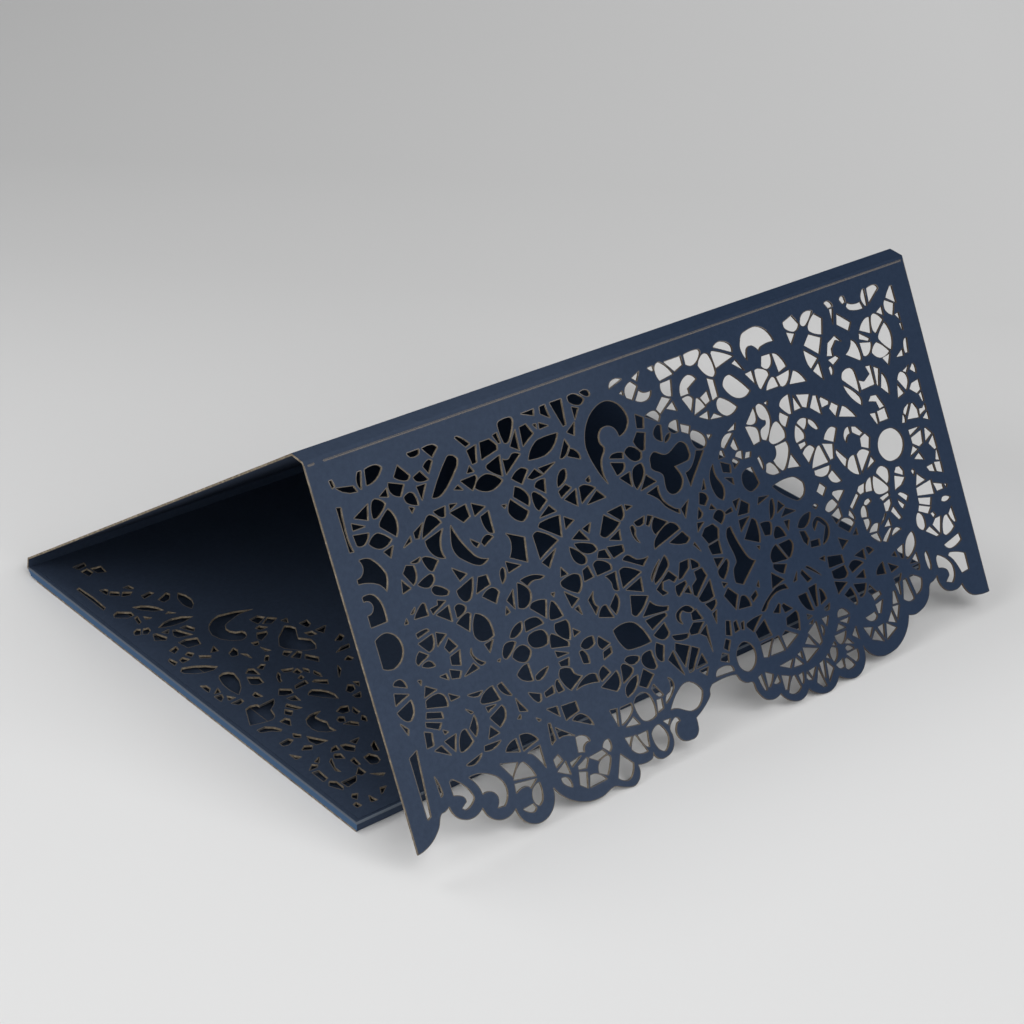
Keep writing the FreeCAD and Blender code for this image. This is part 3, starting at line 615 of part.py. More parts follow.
# Cut-outs of the pocket face.
FACE_WINDOWS = [
    # Back left corner: the long slot, the first fan and three leaves.
    [(4.1, 16.2), (4.9, 15.8), (5.3, 21.7), (5.0, 27.6), (4.1, 28.4)],
    [(8.3, 19.9), (9.6, 20.1), (10.1, 20.9), (8.6, 22.9)],
    [(10.1, 21.9), (11.7, 23.4), (10.8, 24.9), (9.0, 23.5)],
    [(12.4, 23.9), (14.4, 25.3), (13.0, 26.2), (11.2, 25.7)],
    [(13.6, 22.3), (15.4, 22.2), (15.7, 24.0), (15.0, 24.2)],
    [(9.5, 9.5), (11.5, 9.0), (11.8, 11.5), (10.0, 12.5)],
    [(12.3, 9.5), (15.0, 10.0), (14.5, 13.3), (12.5, 12.5)],
    [(9.0, 6.4), (12.5, 6.2), (12.0, 7.9), (9.6, 8.2)],
    [(15.2, 28.2), (17.8, 27.8), (18.4, 28.9), (15.0, 29.7)],
    [(17.4, 32.2), (20.9, 30.5), (21.3, 31.5), (19.8, 33.5), (18.0, 34.0)],
    [(4.3, 32.9), (4.9, 31.6), (6.3, 31.0), (8.9, 33.1), (8.6, 34.8), (6.7, 34.9)],
    [(10.4, 31.4, 1.4), (15.8, 37.1, 1.0)],
    [(23.2, 32.3, 1.8), (21.7, 40.5, 1.3)],
    [(10.2, 43.1, 1.9), (19.9, 43.7, 1.1)],
    [(8.1, 35.9), (9.1, 35.5), (8.3, 38.4), (7.3, 38.9)],
    [(10.2, 36.6), (11.5, 38.3), (9.9, 38.3)],
    [(15.2, 38.8), (16.3, 38.3), (17.5, 40.0)],
    [(3.8, 42.6), (4.4, 41.2), (5.6, 40.5), (6.4, 41.0), (5.0, 43.1)],
    [(5.6, 43.3), (7.0, 41.3), (8.3, 41.6), (8.0, 43.0), (6.5, 43.9)],
    [(7.5, 44.9), (8.4, 45.0), (9.5, 47.9), (8.6, 48.8), (6.3, 47.5)],
    [(9.6, 45.4), (11.9, 45.2), (10.6, 46.6)],
    [(12.3, 46.2), (13.2, 46.3), (15.2, 50.6), (11.5, 49.5), (11.2, 48.3)],
    [(14.4, 46.2), (16.3, 46.2), (17.2, 48.3), (16.2, 49.5)],
    [(10.3, 51.6), (12.5, 51.3), (15.2, 52.3), (14.3, 55.2), (10.9, 54.8)],
    # The hooked leaf with its bud, and the cells round it.
    [(33.6, 49.7, 0.5), (25.0, 47.0, 1.4), (18.8, 53.5, 1.2), (23.2, 59.6, 0.7), (25.9, 57.2),
     (25.6, 56.3, -2.4), (25.3, 50.9), (29.0, 49.6), (31.3, 49.4)],
    [(6.6, 53.2), (8.9, 52.5), (8.7, 53.9), (6.9, 55.0)],
    [(3.9, 56.9), (4.6, 56.2), (5.2, 58.5), (3.9, 59.5)],
    [(6.1, 58.2), (7.4, 57.5), (8.3, 59.3), (6.1, 59.6)],
    [(8.6, 57.0), (9.8, 56.3), (10.6, 57.7), (9.2, 58.6)],
    [(11.0, 59.2), (13.3, 60.9), (12.6, 61.7), (10.6, 60.3)],
    [(16.2, 57.8), (15.9, 60.3), (14.0, 59.8)],
    [(30.1, 53.2), (32.6, 52.8), (33.8, 54.4), (30.6, 56.0)],
    [(31.5, 56.6), (34.3, 54.8), (35.9, 56.5), (33.3, 57.8)],
    [(28.9, 57.3), (30.3, 56.8), (31.7, 58.6), (29.5, 58.6)],
    [(36.0, 58.0), (37.8, 58.0), (36.8, 59.9)],
    [(28.0, 59.2), (30.4, 59.9), (29.8, 61.0), (27.0, 62.5), (26.5, 61.5)],
    [(17.0, 64.3), (17.3, 62.6), (19.5, 61.3), (19.8, 62.6), (18.5, 64.6)],
    [(19.4, 64.4), (20.6, 65.5), (20.4, 67.8)],
    [(24.3, 62.0), (26.0, 62.4), (25.4, 63.6), (24.3, 63.6)],
    [(24.9, 64.8), (26.1, 67.6), (24.8, 67.2)],
    [(3.6, 62.4), (4.8, 61.3, 0.7), (11.8, 65.8), (10.3, 66.4, 0.8), (3.8, 63.5)],
    [(35.3, 60.5), (36.4, 61.4), (36.9, 62.8), (34.7, 66.8), (36.8, 69.3, 0.5), (35.2, 73.4, 0.6),
     (30.5, 70.2), (29.3, 68.9), (28.9, 67.2), (31.2, 63.8)],
    [(38.8, 61.8), (41.3, 61.5), (41.0, 63.5), (39.5, 64.5)],
    [(37.2, 66.0), (39.2, 66.4), (39.4, 68.3), (37.6, 67.9)],
    [(40.2, 66.5), (43.5, 66.3), (41.0, 68.8)],
    # Along the left border, and the drop beside it.
    [(3.7, 70.2), (5.0, 71.0), (5.0, 72.5), (3.8, 73.6)],
    [(6.5, 73.4), (6.0, 75.3), (4.5, 75.0)],
    [(3.8, 75.9), (5.7, 76.1), (5.3, 77.4), (3.9, 78.5)],
    [(6.3, 77.4), (7.5, 79.2), (5.6, 79.2)],
    [(5.3, 80.6), (8.2, 80.4), (8.1, 81.6), (6.4, 82.1)],
    [(8.8, 78.6, 0.7), (9.1, 70.4, 1.5), (13.2, 70.4, 1.0)],
    [(15.4, 72.2), (17.0, 71.0), (18.1, 71.6), (17.8, 74.6)],
    [(14.7, 73.7), (17.0, 75.4), (16.5, 77.9), (14.9, 77.9), (13.6, 76.7)],
    [(18.9, 71.9), (20.6, 71.1), (21.4, 71.8), (19.5, 73.2)],
    [(22.0, 70.5), (23.8, 68.6), (24.4, 69.0), (22.9, 70.9)],
    [(27.2, 70.8), (28.5, 69.6), (29.9, 71.0), (27.7, 72.0)],
    [(28.1, 72.9), (31.0, 71.6), (31.6, 72.5), (29.6, 74.6)],
    [(30.5, 75.4), (31.7, 73.9), (33.5, 76.7), (32.3, 78.4)],
    [(41.0, 73.2), (43.9, 71.5), (44.2, 72.8), (42.3, 74.2)],
    [(38.0, 77.7), (40.5, 76.4), (42.9, 76.4), (42.0, 77.7)],
    [(11.3, 80.7), (12.5, 80.0), (12.9, 82.6), (11.3, 82.0)],
    # The spiral ring and the clover beside the border.
    [(19.5, 80.0), (20.3, 77.9), (21.8, 76.3), (21.6, 77.4), (20.7, 78.7), (20.2, 80.1)],
    [(22.9, 77.2), (23.0, 75.9), (25.8, 77.0), (24.6, 77.9)],
    [(24.6, 78.4), (26.4, 77.6), (26.5, 79.6), (25.2, 79.9)],
    [(27.1, 79.6), (27.6, 78.3), (28.4, 79.6), (27.6, 80.9)],
    [(24.0, 81.3), (25.4, 80.6), (25.4, 81.8), (24.4, 82.2)],
    [(28.2, 82.0), (29.0, 80.8), (29.5, 82.6), (28.9, 84.2)],
    [(20.9, 84.6), (21.6, 83.4), (24.9, 82.9), (24.7, 84.4)],
    [(25.8, 84.5), (26.7, 84.1), (29.2, 85.9), (28.2, 87.5)],
    [(16.2, 84.4), (17.8, 82.3), (20.0, 84.0), (19.4, 85.6), (17.3, 85.4)],
    [(16.9, 86.6), (19.1, 86.8), (18.9, 89.2), (17.3, 88.0)],
    [(3.6, 90.5), (6.6, 84.6, 0.5), (9.8, 84.5), (9.9, 85.3), (14.3, 84.9), (13.0, 86.7), (11.2, 88.0),
     (10.6, 90.2, 0.6), (8.0, 91.6), (5.8, 91.2)],
    [(3.7, 93.1), (5.9, 93.0), (7.5, 94.4), (8.4, 96.2), (7.7, 96.7), (6.0, 95.2), (3.8, 94.4)],
    [(9.9, 93.4), (11.7, 92.9), (12.3, 93.9), (10.9, 96.2)],
    [(12.6, 91.6), (13.8, 90.0), (14.9, 91.6), (13.5, 92.9)],
    [(14.5, 89.3), (15.5, 88.4), (17.4, 91.9), (15.9, 91.6)],
    [(21.7, 88.4), (22.6, 87.5), (23.8, 87.1, 0.7), (26.9, 91.8), (26.5, 93.8), (23.9, 91.3)],
    # The second hooked leaf and the wheel beside it.
    [(19.9, 95.5, 0.6), (15.3, 96.2, 0.8), (14.5, 101.8), (16.1, 103.2), (18.0, 104.0), (17.7, 101.8),
     (18.5, 99.8), (17.8, 98.2), (17.6, 96.5)],
    [(22.8, 97.8), (24.9, 96.8), (26.4, 97.5), (25.2, 99.6), (23.4, 99.4)],
    [(20.8, 100.6), (22.0, 99.9), (22.9, 100.6), (22.0, 102.3), (20.7, 101.9)],
    [(20.9, 102.9), (23.0, 103.0), (24.1, 104.4), (23.4, 105.5)],
    [(25.7, 100.3), (27.0, 98.6), (27.1, 101.2), (25.9, 101.6)],
    [(25.3, 104.0), (26.6, 102.6), (27.0, 103.5), (26.0, 105.3)],
    [(8.7, 100.4), (9.4, 99.0), (10.6, 100.5), (9.8, 101.4)],
    [(4.7, 100.4), (7.3, 100.1), (7.9, 101.2), (6.0, 102.1), (4.7, 101.8)],
    [(10.6, 103.8), (11.3, 101.8), (14.1, 106.1), (11.0, 105.9)],
    [(7.1, 105.6), (8.6, 104.5), (10.2, 105.5), (9.0, 106.7)],
    [(3.8, 105.3), (5.5, 107.7), (3.9, 107.7)],
    [(29.9, 92.4), (31.8, 90.4), (32.8, 91.3), (32.0, 93.0), (30.2, 93.6)],
    [(33.5, 90.2), (34.7, 90.9), (33.5, 92.6)],
    [(29.9, 94.8), (32.3, 94.6), (31.0, 96.6), (30.0, 96.0)],
    [(31.8, 87.0), (35.0, 82.3), (34.6, 84.1)],
    [(37.6, 81.5), (39.5, 80.4), (40.0, 82.0), (38.8, 82.5)],
    # The front corner: a curled bud in its ring, and the last small cells.
    [(3.7, 113.0), (5.6, 111.4), (6.5, 112.3), (5.8, 113.0)],
    [(6.6, 111.0), (8.6, 110.0), (7.1, 111.9)],
    [(3.7, 114.0), (5.4, 114.2), (5.2, 117.7), (3.7, 118.3)],
    [(3.7, 120.3), (4.8, 118.9), (6.0, 119.9), (6.0, 122.4), (5.2, 123.3)],
    [(6.8, 123.1), (6.6, 120.8), (10.9, 120.8), (9.5, 122.5)],
    [(9.4, 113.0), (10.5, 112.1), (8.9, 115.6), (9.0, 117.6), (8.3, 116.6)],
    [(11.0, 112.6), (12.0, 111.2), (13.3, 112.0), (12.9, 114.0)],
    [(11.9, 110.2), (13.0, 109.0), (14.4, 108.7), (14.0, 110.5)],
    [(15.2, 109.3), (16.5, 109.6), (17.7, 111.5), (16.3, 113.0), (14.9, 111.6)],
    [(17.9, 109.4), (20.5, 109.4), (18.4, 110.9)],
    [(13.4, 115.4), (14.7, 115.0), (14.3, 117.9), (13.4, 117.6)],
    [(11.2, 120.4), (13.3, 118.5), (13.4, 121.0), (12.0, 121.4)],
    [(13.7, 122.0), (16.7, 123.9), (15.4, 124.4)],
    [(16.6, 116.2), (18.4, 115.8), (19.4, 117.5), (18.9, 119.2), (17.4, 119.9), (16.2, 119.2)],
    [(19.9, 115.6), (20.9, 113.4), (22.5, 112.4), (21.0, 116.2)],
    [(5.0, 126.8), (5.9, 125.8), (7.0, 126.3), (5.5, 128.0)],
    [(3.7, 129.0), (4.7, 128.8), (5.0, 130.4), (3.7, 130.4)],
    [(7.4, 130.6), (8.5, 128.4), (9.0, 130.9)],
    [(11.0, 129.8), (12.3, 127.6), (13.8, 127.9)],
]


def unit(angle):
    """Direction in the section plane at an angle from +Y towards +Z, in degrees."""
    turn = math.radians(angle)
    return (math.cos(turn), math.sin(turn))


def back_slope():
    """Slope of the back panel that lets the flap's lowest scallops touch the table."""
    ridge_height = FLAP_DROP * math.sin(math.radians(FLAP_SLOPE))
    strip_fall = RIDGE_STRIP * math.sin(math.radians(STRIP_SLOPE))
    spine_rise = BACK_SPINE * math.cos(math.radians(SPINE_LEAN))
    return math.degrees(math.asin((ridge_height + strip_fall - spine_rise - POCKET_HEIGHT) / PANEL_DEPTH))


def section_path():
    """Corners (y, z) of one side of the sheet, from the backing's free edge to the flap's top."""
    runs = [
        (180.0, BACKING_DEPTH),
        (90.0, POCKET_HEIGHT),
        (0.0, PANEL_DEPTH),
        (90.0 + SPINE_LEAN, BACK_SPINE),
        (180.0 - back_slope(), PANEL_DEPTH),
        (180.0 + STRIP_SLOPE, RIDGE_STRIP),
        (180.0 + FLAP_SLOPE, BORDER_JOIN),
    ]
    y, z = -PANEL_DEPTH + BACKING_DEPTH, 0.0
    points = [(y, z)]
    for angle, length in runs:
        dy, dz = unit(angle)
        y, z = y + dy * length, z + dz * length
        points.append((y, z))
    return points


def right_offset(points, distance):
    """The same open path moved to its right by a distance, with mitred corners."""
    moved = []
    last = len(points) - 1
    for index, (y, z) in enumerate(points):
        normals = []
        if index > 0:
            before = points[index - 1]
            length = math.hypot(y - before[0], z - before[1])
            normals.append(((z - before[1]) / length, -(y - before[0]) / length))
        if index < last:
            after = points[index + 1]
            length = math.hypot(after[0] - y, after[1] - z)
            normals.append(((after[1] - z) / length, -(after[0] - y) / length))
        ny = sum(n[0] for n in normals) / len(normals)
        nz = sum(n[1] for n in normals) / len(normals)
        scale = distance / (ny * ny + nz * nz)
        moved.append((y + ny * scale, z + nz * scale))
    return moved


def folded_sheet(path):
    """The whole sheet but the flap, as one folded strip with rounded fold backs."""
    section = path + right_offset(path, CARD)[::-1]
    wire = Part.makePolygon([Vector(0, y, z) for y, z in section + section[:1]])
    strip = Part.Face(wire).extrude(Vector(PANEL_LENGTH, 0, 0))
    backs = [path[1], path[2]] + right_offset(path, CARD)[3:7]
    folds = []
    for edge in strip.Edges:
        ends = [vertex.Point for vertex in edge.Vertexes]
        if abs(ends[0].x - ends[1].x) < PANEL_LENGTH / 2:
            continue
        if any(math.hypot(ends[0].y - y, ends[0].z - z) < CARD / 10 for y, z in backs):
            folds.append(edge)
    return strip.makeFillet(FOLD_RADIUS, folds)


def arc_points(start, end, bow):
    """Points along the arc over a side, without its last: as few as keep its chords within ROUNDING."""
    side = end - start
    half = side.Length / 2
    radius = (half * half + bow * bow) / (2 * abs(bow))
    sweep = 4 * math.atan2(abs(bow), half)
    steps = max(2, math.ceil(sweep / (2 * math.acos(1 - ROUNDING / radius))))
    normal = Vector(side.y, -side.x, 0).normalize() * math.copysign(1.0, bow)
    centre = (start + end) * 0.5 + normal * (abs(bow) - radius)
    along = side * (0.5 / half)
    points = [start]
    for step in range(1, steps):
        turn = sweep * (step / steps - 0.5)
        points.append(centre + along * (radius * math.sin(turn)) + normal * (radius * math.cos(turn)))
    return points


def lace_wire(corners):
    """Closed wire round a cut-out: straight sides, and arcs where a side has a bow."""
    points = [Vector(corner[0], corner[1], 0) for corner in corners]
    turns = [p.x * q.y - q.x * p.y for p, q in zip(points, points[1:] + points[:1])]
    outward = math.copysign(1.0, sum(turns))
    rim = []
    for corner, start, end in zip(corners, points, points[1:] + points[:1]):
        if len(corner) == 2:
            rim.append(start)
        else:
            rim += arc_points(start, end, corner[2] * outward)
    return Part.makePolygon(rim + rim[:1])


def fitted(corners, start, along, down):
    """Corners of a drawing brought to the size of the panel that carries them."""
    return [((c[0] - start) * along, c[1] * down) + tuple(bow * along for bow in c[2:]) for c in corners]


def plate(outline, windows, angle, corner):
    """A flat lace panel: its face in its own plane, extruded by the card and turned into place."""
    wires = [lace_wire(outline)] + [lace_wire(window) for window in windows]
    face = Part.makeFace(wires, "Part::FaceMakerBullseye")
    panel = face.extrude(Vector(0, 0, -CARD))
    panel.Placement = Placement(Vector(0, corner[0], corner[1]), Rotation(Vector(1, 0, 0), angle))
    return panel


def flap(corner):
    """The lace flap below the ridge, from the plain border down to the scallops."""
    along = PANEL_LENGTH / LACE_LENGTH
    down = FLAP_DROP / LACE_DROP
    edge = fitted(FLAP_EDGE, LACE_START, along, down)
    outline = [(0.0, BORDER_JOIN)] + edge + [(PANEL_LENGTH, BORDER_JOIN)]
    windows = [fitted(window, LACE_START, along, down) for window in FLAP_WINDOWS]
    return plate(outline, windows, 180.0 + FLAP_SLOPE, corner)


def face_holes():
    """The cut-outs of the pocket face as plugs that reach through the card."""
    along = PANEL_LENGTH / FACE_LENGTH
    down = PANEL_DEPTH / FACE_DEPTH
    plugs = []
    for window in FACE_WINDOWS:
        wire = lace_wire(fitted(window, 0.0, along, down))
        plugs.append(Part.Face(wire).extrude(Vector(0, 0, 2 * CARD)))
    cutter = Part.makeCompound(plugs)
    cutter.Placement = Placement(Vector(0, 0, POCKET_HEIGHT + CARD / 2), Rotation(Vector(1, 0, 0), 180))
    return cutter


def pocket_wall(left):
    """Upright side wall of the pocket, from the front fold to the rear one."""
    top = POCKET_HEIGHT - CARD
    front = -PANEL_DEPTH + CARD
    slant = [(front, top), (front, CARD), (-TAB_MITRE, CARD), (0.0, top)]
    wall = Part.Face(Part.makePolygon([Vector(left, y, z) for y, z in slant + slant[:1]]))
    return wall.extrude(Vector(CARD, 0, 0))


def glue_tab(left):
    """Tab at the foot of a side wall, flat on the backing."""
    rear = -PANEL_DEPTH + BACKING_DEPTH - TAB_MITRE
    length = rear + PANEL_DEPTH - CARD
    return Part.makeBox(TAB_WIDTH, length, CARD, Vector(left, -PANEL_DEPTH + CARD, CARD))


def groove(start, end, angle):
    """Half-cut score: a shallow slot along X, its mouth on the panel's surface."""
    box = Part.makeBox(end - start, SCORE_WIDTH, 2 * SCORE_DEPTH, Vector(0, -SCORE_WIDTH / 2, -SCORE_DEPTH))
    box.Placement = Placement(Vector(start, 0, 0), Rotation(Vector(1, 0, 0), angle))
    return box


def scores(ridge):
    """Score lines of the ridge fold, the pocket's front fold and its left wall."""
    down = unit(180.0 + FLAP_SLOPE)
    lines = [(SCORE_END, SCORE_DASH), (SCORE_START, PANEL_LENGTH - SCORE_END)]
    cuts = []
    for start, end in lines:
        slot = groove(start, end, 180.0 + FLAP_SLOPE)
        slot.translate(Vector(0, ridge[0] + down[0] * SCORE_INSET, ridge[1] + down[1] * SCORE_INSET))
        cuts.append(slot)
    front = groove(SCORE_END, PANEL_LENGTH - SCORE_END, 180.0)
    front.translate(Vector(0, -PANEL_DEPTH + SCORE_INSET, POCKET_HEIGHT))
    cuts.append(front)
    side = Part.makeBox(SCORE_WIDTH, PANEL_DEPTH - 2 * SCORE_END, SCORE_DEPTH)
    side.translate(Vector(SCORE_INSET, -PANEL_DEPTH + SCORE_END, POCKET_HEIGHT - SCORE_DEPTH))
    cuts.append(side)
    return cuts


def invitation():
    """The folded card as one solid, centred over the origin and standing on z = 0."""
    path = section_path()
    sheet = folded_sheet(path).cut(face_holes())
    walls = [pocket_wall(0.0), pocket_wall(PANEL_LENGTH - CARD)]
    tabs = [glue_tab(0.0), glue_tab(PANEL_LENGTH - TAB_WIDTH)]
    card = sheet.fuse(walls + tabs + [flap(path[6])]).removeSplitter()
    ridge = right_offset(path, CARD)[6]
    card = card.cut(Part.makeCompound(scores(ridge))).Solids[0]
    box = card.BoundBox
    card.translate(Vector(-(box.XMin + box.XMax) / 2, -(box.YMin + box.YMax) / 2, -box.ZMin))
    return card


os.makedirs("parts", exist_ok=True)
invitation().exportStep("parts/pocket_fold_card.step")
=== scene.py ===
"""Navy laser-cut pocket fold card on a pale table, in soft light from the front and the left."""

import bmesh
import bpy
import math
from mathutils import Matrix, Vector
from mathutils.geometry import interpolate_bezier


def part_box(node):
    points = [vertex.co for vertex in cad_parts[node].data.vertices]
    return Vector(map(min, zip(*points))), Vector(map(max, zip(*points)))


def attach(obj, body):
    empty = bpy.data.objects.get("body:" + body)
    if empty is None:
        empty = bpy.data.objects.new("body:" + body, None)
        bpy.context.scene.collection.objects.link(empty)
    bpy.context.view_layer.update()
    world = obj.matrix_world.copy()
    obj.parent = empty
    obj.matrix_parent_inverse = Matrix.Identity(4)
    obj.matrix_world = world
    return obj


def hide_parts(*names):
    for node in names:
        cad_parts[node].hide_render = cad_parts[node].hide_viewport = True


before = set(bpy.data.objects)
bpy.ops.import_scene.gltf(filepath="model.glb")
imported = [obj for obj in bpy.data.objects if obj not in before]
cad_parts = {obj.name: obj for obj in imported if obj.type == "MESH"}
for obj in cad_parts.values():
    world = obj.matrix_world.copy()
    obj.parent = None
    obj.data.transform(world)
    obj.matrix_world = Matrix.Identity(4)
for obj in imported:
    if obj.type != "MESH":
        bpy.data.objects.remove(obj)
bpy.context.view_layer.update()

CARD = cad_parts["pocket_fold_card"]
LOW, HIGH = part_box("pocket_fold_card")

MM = 1000.0                              # millimetres in the frame's metre

# Sizes of the folded card, in metres, and the slopes of its panels in degrees.
THICKNESS = 0.0005
POCKET_TOP = 0.0024
PANEL_DEPTH = 0.135
REAR_FOLD = HIGH.y - 0.00052             # where the pocket face turns up into the back spine
FRONT_FOLD = REAR_FOLD - PANEL_DEPTH
FLAP_ANGLE = 61.5
FLAP_SLOPE = math.radians(FLAP_ANGLE)
PANEL_SLOPES = (0.0, 90.0, 99.0, -35.04, 5.0, FLAP_ANGLE)

# Where the card's folds, cuts and score lines are, in metres.
FLAT_ENOUGH = 0.985                      # cosine above which a face belongs to a panel, not to a cut
RIDGE_REACH = 0.0006                     # how far each fold's rounding reaches
SPINE_REACH = 0.0018
FRONT_REACH = 0.0007
FRONT_RISE = 0.0002
FOLD_MARGIN = 0.0005                     # a fold's neighbourhood that gets no rim
SURFACE = 0.0001                         # a point this near the card's outer face counts as on it
SCORE_LEVEL = 0.0004                     # how far below the pocket's top its score lines reach
SCORE_BORDER = 0.0016                    # the strip beside the pocket's folds that has no cut-outs
SCORE_SIDE = 0.0003
SCORE_FRONT = 0.00045
RIDGE_SCORES = 0.006                     # the ridge's score lines lie this near the card's top
RIM_REACH = 0.00042                      # how wide the burnt rim beside a cut is
RIM_START, RIM_FULL = 0.999, 0.945       # how far the bevelled normal has turned, as a cosine
RIM_SHARE = 0.9
SHADE_START, SHADE_END = -0.045, 0.035     # along the folds, where the painted shade for the light's falloff darkens the card

# How the flap's lace is redrawn.
SEAM_DROP = 0.003                        # how far below the ridge the redrawn lace begins
SHALLOW = math.radians(64.0)             # a lace corner that turns less is part of a curve
CURVE_STEPS = 5
KERF = 0.10                              # how much the laser widens a cut-out all round, in millimetres
THREAD = 0.45                            # cut-outs nearer to each other than this keep their corners
HAIR = 0.005                             # and so do those whose curves come nearer than this
LEVEL = 1e-5                             # faces this near to each other lie in one plane
WELD = 1e-6                              # and points this near are one point
PARALLEL = 0.9995                        # cosines between a face's normal and a direction
SQUARE = 0.999

